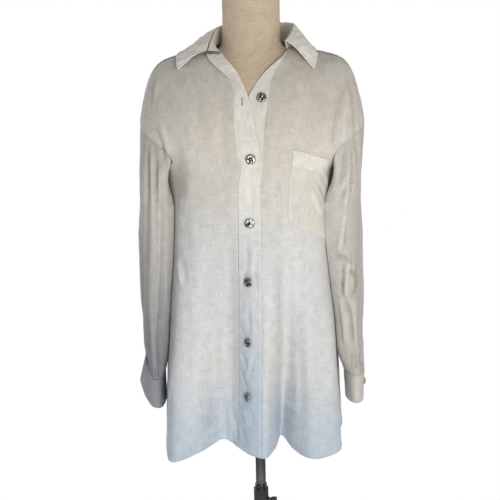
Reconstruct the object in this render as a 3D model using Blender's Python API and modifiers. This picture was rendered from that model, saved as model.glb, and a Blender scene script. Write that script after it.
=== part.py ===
"""A loose linen shirt on a limbless dress form and pole stand.

Metres, +Z up. The origin is the middle of the base's underside, on the pole's axis.
The shirt's front faces -Y, so its wearer's left is +X.

All cloth panels lie on one draped surface, cloth_point(angle, station): the angle goes
round the pole's axis (0 front, +90 wearer's left, 180 back) and the station goes from the
neckline, 0, to the hem, 14. A panel is a patch of that surface between its seam lines.
"""

from math import pi

import bmesh
import bpy
import numpy as np
from mathutils import Matrix, Vector
from mathutils.bvhtree import BVHTree

MM = 0.001

# ---------------------------------------------------------------- driving dimensions
WALL = 1.3 * MM  # cloth wall
SEAM_GAP = 0.4 * MM  # between pieces that are sewn edge to edge
SLEEVE_CLEARANCE = 2.6 * MM  # from the middle of the body's cloth to the sleeve's
FORM_CLEARANCE = 1.1 * MM  # from the form's surface to the middle of the cloth that it carries
LAYER = 1.8 * MM  # from the middle of one layer of cloth to the middle of the next
BUTTON_RADIUS = 9 * MM
BUTTON_HEIGHT = 3.6 * MM
CUFF_BUTTON_RADIUS = 6.5 * MM

HEM = 14  # station of the hem
FOLD_GROWTH = 1.7  # how late the hem's folds deepen, 1 being evenly
ARMHOLE_STATION = 8  # the armhole's middle; it reaches one station up and one down
ARMHOLE_HALF_DEG = 34  # and this far round from the side, in front and behind
TURN_STEP = 18  # degrees round a sleeve between its columns
YOKE_TURN = 306  # where round the armhole the yoke's back seam meets it
YOKE_MID_STATION = 4.5  # and where that seam crosses the middle of the back
YOKE_SEAM_BEND = 2.4  # how level that seam runs before it drops to the armholes

NECK_TOP = 1495 * MM
FORM_BOTTOM = 852 * MM
UPPER_POLE_RADIUS = 9.5 * MM
UPPER_POLE_BOTTOM = 350 * MM
LOWER_POLE_RADIUS = 11.3 * MM
LOWER_POLE_BORE = 9.6 * MM
LOWER_POLE_TOP = 577 * MM
CLAMP_RADIUS = 14 * MM
CLAMP_BOTTOM, CLAMP_TOP = 524 * MM, 567 * MM
CLAMP_SCREW_Z = 541 * MM
BOSS_RADIUS, BOSS_START_X, BOSS_FACE_X = 6 * MM, 4 * MM, 17 * MM
SCREW_BORE = 2.8 * MM
STAND_GAP = 0.3 * MM  # between parts of the stand that touch
BASE_RADIUS = 160 * MM
BASE_THICKNESS = 9 * MM

# ---------------------------------------------------------------- section tables (mm)
# The draped shirt: one closed ring for each station, higher at the sides than in front
# until it hangs level. 'square' is the power of the ring's superellipse.
SHIRT_SECTIONS = """
station middle_x half  front back  square z_front z_side z_back
0       2        66    74    59    2.2    1372    1401   1412
1       1        96    83    75    2.1    1345    1396   1396
2       0        130   98    87    2.1    1317    1387.5 1374
3       -1       157   109   96    2.1    1290    1378   1348
4       -2       173   117   101   2.15   1268    1362   1322
5       -2       185   124   105   2.25   1246    1334   1294
6       -2       193   130   107   2.35   1226    1301   1266
7       -2       198   134   109   2.45   1208    1263   1240
8       -4       170   138   111   2.5    1190    1223   1213
9       -7       152   140   112   2.5    1172    1187   1184
10      -8       151   141   113   2.5    1118    1120   1119
11      -8       152   141   115   2.5    1018    1018   1018
12      -8       155   142   119   2.45   905     905    905
13      -8       160   143   123   2.4    792     792    792
14      -8       165   144   126   2.35   682     682    682
"""

# The folds the hem falls into. Each row is a crest or a valley: its place round the ring,
# where the hem is there, how far it is lifted, and the station where it begins to show.
HEM_FOLDS = """
angle   x     y     lift  begins
-165    -34   152   0     9.5
-148    -70   100   12    10
-130    -118  128   0     9.5
-110    -150  66    8     10
-92     -172  20    2     9.5
-76     -173  -52   0     9.5
-61     -158  -136  -2    10
-46     -112  -116  6     10
-31     -70   -70   13    9.6
-19     -54   -74   8     9.6
-8.8    -40   -86   3     9.6
3.5     -10   -114  -3    9.6
10      10    -120  -4    9.6
15.5    26    -92   2     10
23      38    -52   12    10
33      60    -98   2     10
49      100   -134  -3    9.6
62      143   -108  2     10
76      143   -44   8     9.6
92      158   22    3     9.6
107     156   84    0     9.6
124     104   88    10    10
142     80    138   0     9.6
160     34    104   10    10
178     2     118   4     10
"""

# Soft folds that hang from the bust, the armholes and the yoke and fade before the hem:
# 'depth' in or out, 'width' to where it ends, and the stations it begins, is deepest at, ends.
BODY_FOLDS = """
angle  depth  width  begins  deepest  ends
66     -7     16     8.4     9.8      13.4
-66    -6     16     8.6     9.8      13
9      9      16     9.6     11.3     15.5
-17    -13    18     9.6     11.3     15.5
-112   -8     18     8.4     9.6      13.4
112    -8     18     8.4     9.6      13.4
-150   5      16     5       9        13
150    5      16     5       9        13
180    -6     16     4.5     9        13
36     -3     14     7       9.4      11.5
-34    -3     16     7       9.4      11.5
"""

# The edges of the open neck, as angles by station. 'fold' is where the right front turns
# out, 'right_seam' its band's inner seam, 'left_edge' and 'left_seam' the left front's.
FRONT_EDGES = """
station fold   right_seam left_edge left_seam
0       -46    -56        52        60
0.25    -33    -47        29        43
0.6     -22    -38        15        31
1.07    -14.6  -29        5         23
1.5     -9.5   -23.5      -0.8      18.5
2       -4.6   -19.5      -4.8      15.6
3       0      -16.8      -5.8      12.4
4.5     3      -15        -7        9.4
6       5      -13.4      -8.2      7.6
7       6.8    -8.8       -8.8      6.8
14      6.8    -8.8       -8.8      6.8
"""

# The turned-out top of the right band: where it folds and where its free edge lies.
TURNED_BAND = """
fold   fold_station edge   edge_station
-6.5   1.85         -8.5   1.85
-9.5   1.5          -15    1.52
-14.6  1.07         -25    1.36
-22    0.6          -37    1.22
-33    0.25         -50    1.1
-44    0.05         -61    0.9
"""

# The collar round the neck, from its right front end to its left: where its stand is sewn
# on, where its top roll runs, and where its lower edge lies on the shirt.
COLLAR_SECTIONS = """
foot  roll_x roll_y roll_z edge   edge_station edge_lift
305   -76    -47    1396   297    2.85         3.6
290   -70    -26    1414   284    2.15         5
268   -61    4      1431   264    1.38         5
238   -48    40     1438   238    1.2          7
210   -25    61     1441   210    1.2          8
180   3      67     1442   180    1.2          8
150   34     60     1441   150    1.2          8
122   60     37     1440   122    1.22         7
92    71     2      1436   94     1.2          6
72    66     -34    1422   73     1.65         5
57    57     -54    1409   55     2.42         3.6
"""

# One sleeve below its armhole: rings with their height, middle, half sizes and the depth
# of the long folds in them.
SLEEVE_SECTIONS = """
down   z      left_x right_x y     half_x half_y fold
1      1150   163    -176    -14   30     88     2
2      1085   163    -180    -20   30     84     3
3      1010   165    -182    -22   29     78     4
4      940    168    -184    -22   28     73     4
5      876    171    -187    -21   26     68     4
6      838    175    -190    -18   22     61     4
7      808    178    -193    -14   17     51     3
"""

# The right cuff is unbuttoned: its front end flares out and up. Places round the sleeve,
# from the front end past the body's side to the back end.
OPEN_CUFF = """
turn  x     y    top  bottom
0     -219  -30  846  800
25    -212  -48  828  780
50    -200  -60  814  763
90    -188  -64  809  756
135   -178  -50  808  754
180   -175  -12  808  754
225   -178  24   808  754
270   -190  38   808  754
315   -201  26   808  755
342   -206  0    809  757
"""

# The left cuff is buttoned: an oval band, 57 mm deep.
CUFF_TOP, CLOSED_CUFF_BOTTOM = 808, 756

# The chest pocket, from its side near the front band to its side near the sleeve.
POCKET_SECTIONS = """
side   top_angle top_station bottom_angle bottom_station
0      29.3      6.72        25.6         9.98
0.12   32.4      6.9         29           10.14
0.5    42.4      7.5         44           10.42
0.88   52.4      8.06        59           10.72
1      55.4      8.2         63           10.66
"""

# The buttons: six down the front (the top one is on the left front, undone).
BUTTONS = """
number angle station lift turn
1      8.4   2.1     0    0
2      -2.1  6.6     1    0
3      -0.8  10.12   1    0
4      -1    11.11   1    12
5      -1    12.07   1    18
6      -1    12.98   1    18
"""

# The dress form's own rings; it follows the inside of the shirt over the shoulders.
FORM_SECTIONS = """
half   front back  square z_front z_side z_back
50.6   50.6  50.6  2      1495    1495   1495
50.6   50.6  50.6  2      1440    1440   1440
51.2   51.2  51    2      1418    1420   1424
54     54    53    2      1398    1404   1410
62     62    56    2.1    1377    1397.7 1403
94.2   80.5  71.6  2.1    1345.6  1393.4 1393
127.5  95.5  84    2.1    1315.6  1385   1371
154.5  106.5 93    2.1    1288.6  1375.3 1345
169.5  114.5 98    2.15   1266.6  1358.8 1319
176    120.5 101   2.25   1244.6  1331   1291
174    125.5 103   2.3    1224.6  1299   1263
164    129   104   2.2    1206.6  1261   1237
142    132   103   2.15   1189.6  1223   1211
131    133   102   2.1    1171.6  1185   1183
128    132   99    2.1    1130    1130   1130
118    108   89    2.1    1060    1060   1060
111    94    84    2.1    1000    1000   1000
120    95    92    2.1    935     935    935
130    98    97    2.1    880     880    880
132    99    99    2.1    852     852    852
"""


# ---------------------------------------------------------------- tables and curves
def read_table(text):
    """The columns of a table, by name."""
    names, *rows = [line.split() for line in text.strip().splitlines()]
    values = np.array(rows, float)
    return {name: values[:, i] for i, name in enumerate(names)}


def smooth(x):
    x = np.clip(x, 0, 1)
    return x * x * (3 - 2 * x)


def curve(places, values):
    """A smooth curve through a column, which never overshoots between two rows."""
    steps = np.diff(places)
    slopes = np.diff(values) / steps
    tangents = np.concatenate([slopes[:1], np.zeros(len(slopes) - 1), slopes[-1:]])
    for i in range(1, len(slopes)):
        if slopes[i - 1] * slopes[i] > 0:
            w1 = 2 * steps[i] + steps[i - 1]
            w2 = steps[i] + 2 * steps[i - 1]
            tangents[i] = (w1 + w2) / (w1 / slopes[i - 1] + w2 / slopes[i])

    def at(x):
        x = np.clip(x, places[0], places[-1])
        i = np.clip(np.searchsorted(places, x, "right") - 1, 0, len(steps) - 1)
        h = steps[i]
        u = (x - places[i]) / h
        return (
            (1 + 2 * u) * (1 - u) ** 2 * values[i]
            + u * (1 - u) ** 2 * h * tangents[i]
            + u * u * (3 - 2 * u) * values[i + 1]
            + u * u * (u - 1) * h * tangents[i + 1]
        )

    return at


def loop_curve(angles, values):
    """A smooth closed curve through values given round the ring, in degrees."""
    angles = np.concatenate([angles - 360, angles, angles + 360])
    values = np.tile(values, 3)
    tangents = np.gradient(values, angles)

    def at(x):
        x = (x + 180) % 360 - 180
        i = np.searchsorted(angles, x, "right") - 1
        h = angles[i + 1] - angles[i]
        u = (x - angles[i]) / h
        return (
            (1 + 2 * u) * (1 - u) ** 2 * values[i]
            + u * (1 - u) ** 2 * h * tangents[i]
            + u * u * (3 - 2 * u) * values[i + 1]
            + u * u * (u - 1) * h * tangents[i + 1]
        )

    return at


def ring_point(angle, half, front, back, square):
    """x and y where a direction meets a superellipse with unlike front and back."""
    across = np.sin(np.radians(angle))
    ahead = np.cos(np.radians(angle))
    depth = np.where(ahead > 0, front, back)
    radius = (np.abs(across / half) ** square + np.abs(ahead / depth) ** square) ** (-1 / square)
    return radius * across, -radius * ahead


def ring_height(angle, z_front, z_side, z_back):
    ahead = np.cos(np.radians(angle))
    return z_side + (np.where(ahead > 0, z_front, z_back) - z_side) * ahead**2


# ---------------------------------------------------------------- the draped surface
shirt = read_table(SHIRT_SECTIONS)
shirt_curves = {name: curve(shirt["station"], column) for name, column in shirt.items()}
folds = read_table(HEM_FOLDS)
body_folds = read_table(BODY_FOLDS)


def smooth_ring(angle, station):
    """The shirt without its folds, in mm."""
    at = {name: column(station) for name, column in shirt_curves.items()}
    x, y = ring_point(angle, at["half"], at["front"], at["back"], at["square"])
    z = ring_height(angle, at["z_front"], at["z_side"], at["z_back"])
    return np.stack([x + at["middle_x"], y, z], -1)


hem_at_folds = smooth_ring(folds["angle"], np.full(len(folds["angle"]), float(HEM)))
fold_shift = [
    loop_curve(folds["angle"], folds["x"] - hem_at_folds[:, 0]),
    loop_curve(folds["angle"], folds["y"] - hem_at_folds[:, 1]),
    loop_curve(folds["angle"], folds["lift"]),
]
fold_begins = loop_curve(folds["angle"], folds["begins"])


def draped(angle, station):
    """The shirt with its folds, in metres."""
    points = smooth_ring(angle, station)
    begins = fold_begins(angle)
    grown = np.clip((station - begins) / (HEM - begins), 0, 1) ** FOLD_GROWTH
    for axis, shift in enumerate(fold_shift):
        points[..., axis] += grown * shift(angle)
    for i, centre in enumerate(body_folds["angle"]):
        away = np.abs((angle - centre + 180) % 360 - 180) / body_folds["width"][i]
        begins, deepest, ends = (body_folds[name][i] for name in ("begins", "deepest", "ends"))
        rising = (station - begins) / (deepest - begins)
        falling = (ends - station) / (ends - deepest)
        along = np.minimum(rising, falling)
        depth = body_folds["depth"][i] * smooth(1 - away) * smooth(along)
        points[..., 0] += depth * np.sin(np.radians(angle))
        points[..., 1] -= depth * np.cos(np.radians(angle))
    return points * MM


def cloth_point(angle, station, lift=0.0):
    """Points of the shirt's surface, moved out by lift (metres)."""
    angle, station, lift = np.broadcast_arrays(
        np.asarray(angle, float), np.asarray(station, float), np.asarray(lift, float)
    )
    points = draped(angle, station)
    across = draped(angle + 0.6, station) - draped(angle - 0.6, station)
    low = np.clip(station - 0.03, 0, HEM)
    high = np.clip(station + 0.03, 0, HEM)
    down = draped(angle, high) - draped(angle, low)
    out = np.cross(down, across)
    out /= np.linalg.norm(out, axis=-1, keepdims=True)
    return points + out * lift[..., None]


# ---------------------------------------------------------------- making objects
def make_material(name, colour, roughness, metallic=0.0):
    material = bpy.data.materials.new(name)
    material.use_nodes = True
    shader = material.node_tree.nodes["Principled BSDF"]
    shader.inputs["Base Color"].default_value = (*colour, 1)
    shader.inputs["Roughness"].default_value = roughness
    shader.inputs["Metallic"].default_value = metallic
    return material


def add_object(name, mesh, material, collection):
    mesh.materials.clear()
    mesh.materials.append(material)
    obj = bpy.data.objects.new(name, mesh)
    collection.objects.link(obj)
    return obj


def grid_mesh(name, points, closed=False):
    """A sheet of quads through a grid of points, joined round where closed."""
    rows, columns = points.shape[:2]
    around = columns if closed else columns - 1
    faces = []
    for i in range(rows - 1):
        for j in range(around):
            k = (j + 1) % columns
            above, below = i * columns, (i + 1) * columns
            faces.append((above + j, below + j, below + k, above + k))
    mesh = bpy.data.meshes.new(name)
    mesh.from_pydata([tuple(p) for p in points.reshape(-1, 3)], [], faces)
    mesh.shade_smooth()
    return mesh


def solidify(obj, thickness):
    """Gives a sheet its wall, half to each side."""
    wall = obj.modifiers.new("Wall", "SOLIDIFY")
    wall.thickness = thickness
    wall.offset = 0
    return obj


def drawn_in(points, sides, distance=SEAM_GAP / 2):
    """The grid with its sewn edges drawn in by their half of the seam gap."""
    points = points.copy()
    edges = {
        "top": (points[0], points[1]),
        "bottom": (points[-1], points[-2]),
        "first": (points[:, 0], points[:, 1]),
        "last": (points[:, -1], points[:, -2]),
    }
    for side in sides:
        edge, inner = edges[side]
        step = inner - edge
        length = np.linalg.norm(step, axis=-1, keepdims=True)
        edge += step / np.maximum(length, 1e-9) * np.minimum(distance, length / 2)
    return points


def rounded_disc(name, radius, height, material, collection):
    """A domed disc with a rounded rim, lying in its own XY plane."""
    mesh = bpy.data.meshes.new(name)
    profile = [(0.0, 1.0), (0.45, 0.93), (0.8, 0.66), (1.0, 0.3), (0.94, 0.0), (0.0, 0.0)]
    points = [(radius * r, 0, height * z) for r, z in profile]
    mesh.from_pydata(points, [(i, i + 1) for i in range(len(points) - 1)], [])
    obj = add_object(name, mesh, material, collection)
    turn = obj.modifiers.new("Turn", "SCREW")
    turn.steps = 14
    turn.render_steps = 14
    turn.use_merge_vertices = True
    turn.merge_threshold = 0.0001
    turn.use_smooth_shade = True
    return obj


def turned(name, profile, steps, material, collection):
    """A solid turned about Z from (radius, z) points that run down its outside."""
    mesh = bpy.data.meshes.new(name)
    edges = [(i, i + 1) for i in range(len(profile) - 1)]
    mesh.from_pydata([(r, 0, z) for r, z in profile], edges, [])
    obj = add_object(name, mesh, material, collection)
    turn = obj.modifiers.new("Turn", "SCREW")
    turn.steps = steps
    turn.render_steps = steps
    turn.use_merge_vertices = True
    turn.merge_threshold = 0.00005
    turn.use_smooth_shade = True
    return obj


# ---------------------------------------------------------------- seam lines
front_edges = read_table(FRONT_EDGES)
edge_at = {name: curve(front_edges["station"], column) for name, column in front_edges.items()}



def armhole(turn):
    """The armhole's edge, as angles and stations: its top at 0, its front at 90, underarm at 180."""
    turn = np.radians(turn)
    return 90 - ARMHOLE_HALF_DEG * np.sin(turn), ARMHOLE_STATION - np.cos(turn)


SLEEVE_TURNS = np.arange(0, 360, TURN_STEP)
ARMHOLE_FRONT = np.arange(0, 180 + TURN_STEP, TURN_STEP)
ARMHOLE_BACK = np.arange(YOKE_TURN, 180 - TURN_STEP, -TURN_STEP)
ARMHOLE_YOKE = np.arange(360, YOKE_TURN - TURN_STEP, -TURN_STEP)
ARMHOLE_TOP, ARMHOLE_BOTTOM = ARMHOLE_STATION - 1, ARMHOLE_STATION + 1
YOKE_END_DEG, YOKE_END_STATION = armhole(YOKE_TURN)

SHOULDER_ROWS = np.array([0, 0.3, 0.65, 1.07, 1.6, 2.3, 3.2, 4.4, 5.7])
LOWER_ROWS = np.linspace(ARMHOLE_BOTTOM, HEM, 11)[1:]
BAND_ROWS = np.concatenate(
    [[0, 0.3, 0.65, 1.07, 1.6, 2.2, 2.9, 3.7, 4.5], np.linspace(5.2, 9.3, 11), np.linspace(9.7, HEM, 10)]
)
LEFT_COLUMNS = np.array([6.8, 10, 14, 18, 22, 26, 30, 35, 41, 47, 53, 59, 65, 71, 77, 83.5, 90])
RIGHT_COLUMNS = np.array([8.8, 14, 19, 25, 31, 38, 45, 52, 59, 66, 74, 82, 90])
BAND_COLUMNS = np.array([0, 0.25, 0.5, 0.75, 1])
BACK_COLUMNS = np.linspace(-1, 1, 25)
ROW_BEND = 2.5  # how near the armhole a front's rows bend to meet it


def yoke_front(station):
    """The yoke's front seam: it runs ahead of the shoulder's ridge and ends at the armhole's top."""
    ahead = np.exp(-station / 1.7) - np.exp(-ARMHOLE_TOP / 1.7)
    return 90 - 17 * ahead - 2.2 * (1 - station / ARMHOLE_TOP)


def front_grid(inner, columns):
    """Angles and stations of a front, from its band's seam out to its outer edge.

    The outer edge is the yoke's seam, the front half of the armhole, then the side seam.
    """
    edge_angle, edge_station = armhole(ARMHOLE_FRONT)
    side_seam = np.full(len(LOWER_ROWS), 90.0)
    outer = np.concatenate([yoke_front(SHOULDER_ROWS), edge_angle, side_seam])[:, None]
    outer_station = np.concatenate([SHOULDER_ROWS, edge_station, LOWER_ROWS])[:, None]
    share = (columns - columns[0]) / (columns[-1] - columns[0])
    inner = inner(BAND_ROWS)[:, None]
    station = BAND_ROWS[:, None] + (outer_station - BAND_ROWS[:, None]) * share**ROW_BEND
    return inner + (outer - inner) * share, station


def yoke_seam(part):
    """The yoke's seam across the back, by the share of the way from its middle to its end."""
    angle = 180 + (180 - YOKE_END_DEG) * part
    drop = (YOKE_END_STATION - YOKE_MID_STATION) * np.abs(part) ** YOKE_SEAM_BEND
    return angle, YOKE_MID_STATION + drop


def search_tree(grids):
    """A tree for finding the nearest place on several grids' faces."""
    points = []
    faces = []
    for grid in grids:
        rows, columns = grid.shape[:2]
        first = len(points)
        points += [Vector(point) for point in grid.reshape(-1, 3)]
        for i in range(rows - 1):
            for j in range(columns - 1):
                corner = first + i * columns + j
                faces.append((corner, corner + columns, corner + columns + 1))
                faces.append((corner, corner + columns + 1, corner + 1))
    return BVHTree.FromPolygons(points, faces)


def keep_clear(grid, cloth, clearance, side=1, closed=True, held=0, farthest=30 * MM):
    """Moves a grid's points until its faces lie clear of the cloth, outside it (side 1) or inside.

    Its first and last rows stay where they are for as many rows as are held.
    """
    rows, columns = grid.shape[:2]
    grid = grid.copy()
    thirds = [(a, b) for a in (0, 1 / 3, 2 / 3, 1) for b in (0, 1 / 3, 2 / 3)]
    for _ in range(6):
        push = np.zeros_like(grid)
        for i in range(rows - 1):
            for j in range(columns if closed else columns - 1):
                k = (j + 1) % columns
                corners = [(i, j), (i, k), (i + 1, j), (i + 1, k)]
                for a, b in thirds:
                    if i < held and a < 1 or i >= rows - 1 - held and a > 0:
                        continue
                    weights = ((1 - a) * (1 - b), (1 - a) * b, a * (1 - b), a * b)
                    point = Vector(sum(w * grid[c] for w, c in zip(weights, corners)))
                    place, normal, _, _ = cloth.find_nearest(point)
                    above = side * (point - place).dot(normal)
                    aside = (point - place - side * above * normal).length
                    if above > clearance or aside > MM or above < -farthest:
                        continue
                    step = np.array(normal) * side * (clearance - above)
                    for weight, corner in zip(weights, corners):
                        if weight > 0.3 and np.linalg.norm(step) > np.linalg.norm(push[corner]):
                            push[corner] = step
        grid[held : rows - held] += push[held : rows - held]
    return grid


# ---------------------------------------------------------------- the shirt's pieces
def front_left_grid():
    angle, station = front_grid(edge_at["left_seam"], LEFT_COLUMNS)
    return drawn_in(cloth_point(angle, station), ["top", "first", "last"])


def front_right_grid():
    angle, station = front_grid(lambda rows: -edge_at["right_seam"](rows), RIGHT_COLUMNS)
    lift = LAYER * smooth(1 - np.linspace(0, 7.4, len(RIGHT_COLUMNS)))
    return drawn_in(cloth_point(-angle[:, ::-1], station[:, ::-1], lift[::-1]), ["top", "first", "last"])


def band_grid(first, last, lift):
    """One front band, between two of the columns of the front edges' table."""
    start, end = edge_at[first](BAND_ROWS)[:, None], edge_at[last](BAND_ROWS)[:, None]
    return cloth_point(start + (end - start) * BAND_COLUMNS, BAND_ROWS[:, None], lift)


def band_left_grid():
    return drawn_in(band_grid("left_edge", "left_seam", 0.0), ["top", "last"], 0.5 * MM)


def band_right_grid():
    open_neck = 1.2 * MM * smooth((6.6 - BAND_ROWS) / 1.5)[:, None]
    return drawn_in(band_grid("right_seam", "fold", LAYER + open_neck), ["top", "first"])


def turned_band_grid():
    table = read_table(TURNED_BAND)
    start, end = table["edge"][:, None], table["fold"][:, None]
    angle = start + (end - start) * BAND_COLUMNS
    start, end = table["edge_station"][:, None], table["fold_station"][:, None]
    station = start + (end - start) * BAND_COLUMNS
    return drawn_in(cloth_point(angle[::-1], station[::-1], 2 * LAYER + 1.6 * MM), ["top"])


def yoke_grid():
    """From the neckline out to the front seams, the armholes' tops and the back seam."""
    seam_angle, seam_station = yoke_seam(BACK_COLUMNS[: len(BACK_COLUMNS) // 2 + 1])
    armhole_angle, armhole_station = armhole(ARMHOLE_YOKE)
    end = np.concatenate([armhole_angle, seam_angle[1:]])
    end_station = np.concatenate([armhole_station, seam_station[1:]])
    start = np.linspace(yoke_front(0.0), 180, len(end))
    rows = np.append(SHOULDER_ROWS, ARMHOLE_TOP)[:, None] / ARMHOLE_TOP
    station = rows * end_station
    angle = start + (end - start) * rows
    angle[:, 0] = yoke_front(station[:, 0])
    angle = np.concatenate([angle, 360 - angle[:, -2::-1]], 1)
    station = np.concatenate([station, station[:, -2::-1]], 1)
    return drawn_in(cloth_point(angle, station), ["top", "bottom", "first", "last"])


def back_grid():
    """From the yoke's seam to the hem, between the armholes and then the side seams."""
    side_angle, side_station = armhole(ARMHOLE_BACK)
    outer_angle = np.append(side_angle, np.full(len(LOWER_ROWS), 90.0))[:, None]
    outer_station = np.append(side_station, LOWER_ROWS)[:, None]
    share = np.linspace(0, 1, len(outer_station))[:, None]
    middle = YOKE_MID_STATION + (HEM - YOKE_MID_STATION) * share**0.97
    angle = 180 + BACK_COLUMNS * (180 - outer_angle)
    station = middle + (outer_station - middle) * np.abs(BACK_COLUMNS) ** YOKE_SEAM_BEND
    return drawn_in(cloth_point(angle, station), ["top", "first", "last"])


def make_body(material, collection):
    """The panels that lie on the draped surface; returns their grids."""
    grids = {
        "front_left": front_left_grid(),
        "front_right": front_right_grid(),
        "band_left": band_left_grid(),
        "band_right": band_right_grid(),
        "band_right_turned": turned_band_grid(),
        "yoke": yoke_grid(),
        "back": back_grid(),
    }
    for name, grid in grids.items():
        solidify(add_object(name, grid_mesh(name, grid), material, collection), WALL)
    return grids


def open_cuff_edge(name):
    """The open cuff's top or bottom edge, by the sleeve's turns."""
    table = read_table(OPEN_CUFF)
    at = {key: loop_curve(table["turn"] - 180, column) for key, column in table.items()}
    turn = SLEEVE_TURNS - 180
    return np.stack([at["x"](turn), at["y"](turn), at[name](turn)], -1) * MM


def closed_cuff_edge(z, half_x, half_y):
    sleeve = read_table(SLEEVE_SECTIONS)
    turn = np.radians(SLEEVE_TURNS)
    x = sleeve["left_x"][-1] + half_x * np.cos(turn)
    y = sleeve["y"][-1] - half_y * np.sin(turn)
    return np.stack([x, y, z + 0 * turn], -1) * MM


def squarish(part):
    """A sine or cosine that rounds a ring's corners less."""
    return np.sign(part) * np.abs(part) ** 0.82


def sleeve_rings(side, end_ring, cloth):
    """The rings of a sleeve from its armhole to its cuff; side is 1 for the wearer's left."""
    table = read_table(SLEEVE_SECTIONS)
    turn = np.radians(SLEEVE_TURNS)
    angle, station = armhole(SLEEVE_TURNS)
    lapped = LAYER * smooth((0.45 - np.cos(turn)) / 0.6)
    loop = cloth_point(side * angle, station, lapped)
    down = np.array([0, 0.15, 0.4, 0.7, 1, 1.5, 2, 2.6, 3.2, 3.8, 4.4, 5, 5.5, 6, 6.5, 7])
    at = {name: curve(table["down"], column)(down)[:, None] for name, column in table.items()}
    wave = at["fold"] * (0.5 * np.cos(3 * turn + 0.9) + 0.5 * np.cos(5 * turn - 0.4))
    middle_x = at["left_x"] if side > 0 else at["right_x"]
    x = middle_x + side * (at["half_x"] + wave) * squarish(np.cos(turn))
    y = at["y"] - (at["half_y"] + wave) * squarish(np.sin(turn))
    slant = (loop[:, 2] - loop[:, 2].mean()) / MM * (1 - smooth(down / 3))[:, None]
    hung = np.stack([x, y, at["z"] + slant], -1) * MM
    share = smooth(down)[:, None, None]
    rings = loop * (1 - share) + hung * share
    ending = smooth((down - 5) / 2)[:, None, None]
    rings = rings * (1 - ending) + end_ring * ending
    rings = keep_clear(rings, cloth, SLEEVE_CLEARANCE, held=1, farthest=16 * MM)
    return drawn_in(drawn_in(rings, ["top"], 0.7 * MM), ["bottom"])


def add_tube(name, rings, side, thickness, material, collection):
    mesh = grid_mesh(name, rings if side < 0 else rings[:, ::-1], closed=True)
    return solidify(add_object(name, mesh, material, collection), thickness)


def make_sleeves(cloth, material, collection):
    ends = {
        "sleeve_left": (1, closed_cuff_edge(CUFF_TOP, 17.5, 51)),
        "sleeve_right": (-1, open_cuff_edge("top")),
    }
    for name, (side, end_ring) in ends.items():
        add_tube(name, sleeve_rings(side, end_ring, cloth), side, WALL, material, collection)


def between(first, last, count):
    """Rows of points evenly from one edge to another."""
    part = np.linspace(0, 1, count)[:, None, None]
    return first[None] + (last - first)[None] * part


def make_cuffs(material, collection):
    top = closed_cuff_edge(CUFF_TOP - 0.6, 17, 50)
    bottom = closed_cuff_edge(CLOSED_CUFF_BOTTOM, 16, 48)
    add_tube("cuff_left", between(top, bottom, 4), 1, 1.5 * WALL, material, collection)
    top = open_cuff_edge("top")
    top[:, 2] -= 0.7 * MM + 0.1 * (top[:, 2] - CUFF_TOP * MM)
    rows = between(top, open_cuff_edge("bottom"), 4)
    mesh = grid_mesh("cuff_right", rows)
    solidify(add_object("cuff_right", mesh, material, collection), 1.5 * WALL)


def make_collar(material, collection):
    table = read_table(COLLAR_SECTIONS)
    rows = np.linspace(0, len(table["foot"]) - 1, 31)
    at = {name: curve(np.arange(len(column)), column)(rows) for name, column in table.items()}
    foot = cloth_point(at["foot"], 0)
    foot[:, 2] += 2.8 * MM
    roll = np.stack([at["roll_x"], at["roll_y"], at["roll_z"]], -1) * MM
    edge = cloth_point(at["edge"], at["edge_station"], at["edge_lift"] * MM)
    stand = between(roll, foot, 4)
    panel_mesh = grid_mesh("collar_stand", stand)
    solidify(add_object("collar_stand", panel_mesh, material, collection), 1.4 * WALL)
    outward = roll * [1, 1, 0] - [2 * MM, 0, 0]
    outward /= np.linalg.norm(outward, axis=-1, keepdims=True)
    up = np.array([0, 0, 1.0])
    start = roll + outward * 2.4 * MM + up * 0.6 * MM
    fall = between(start, edge, 6)
    bulge = np.array([0, 0.75, 1, 0.8, 0.4, 0])[:, None, None]
    fall += (outward * 3.2 * MM + up * 2.4 * MM)[None] * bulge
    fall_mesh = grid_mesh("collar", fall)
    solidify(add_object("collar", fall_mesh, material, collection), 1.4 * WALL)


def make_pocket(cloth, material, collection):
    table = read_table(POCKET_SECTIONS)
    across = np.array([0, 0.12, 0.3, 0.5, 0.7, 0.88, 1])
    down = np.linspace(0, 1, 8)[:, None]
    at = {name: curve(table["side"], column)(across) for name, column in table.items()}
    angle = at["top_angle"] + (at["bottom_angle"] - at["top_angle"]) * down
    station = at["top_station"] + (at["bottom_station"] - at["top_station"]) * down
    grid = keep_clear(cloth_point(angle, station, LAYER), cloth, LAYER + 0.3 * MM, closed=False)
    solidify(add_object("pocket", grid_mesh("pocket", grid), material, collection), WALL)


def on_cloth(angle, station, lift):
    """A matrix whose Z points out of the cloth there."""
    here = cloth_point(angle, station, lift)
    out = cloth_point(angle, station, lift + MM) - here
    return place_along(here, out)


def place_along(here, out):
    turn = Vector(out).to_track_quat("Z", "Y").to_matrix().to_4x4()
    return Matrix.Translation(Vector(here)) @ turn


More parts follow.
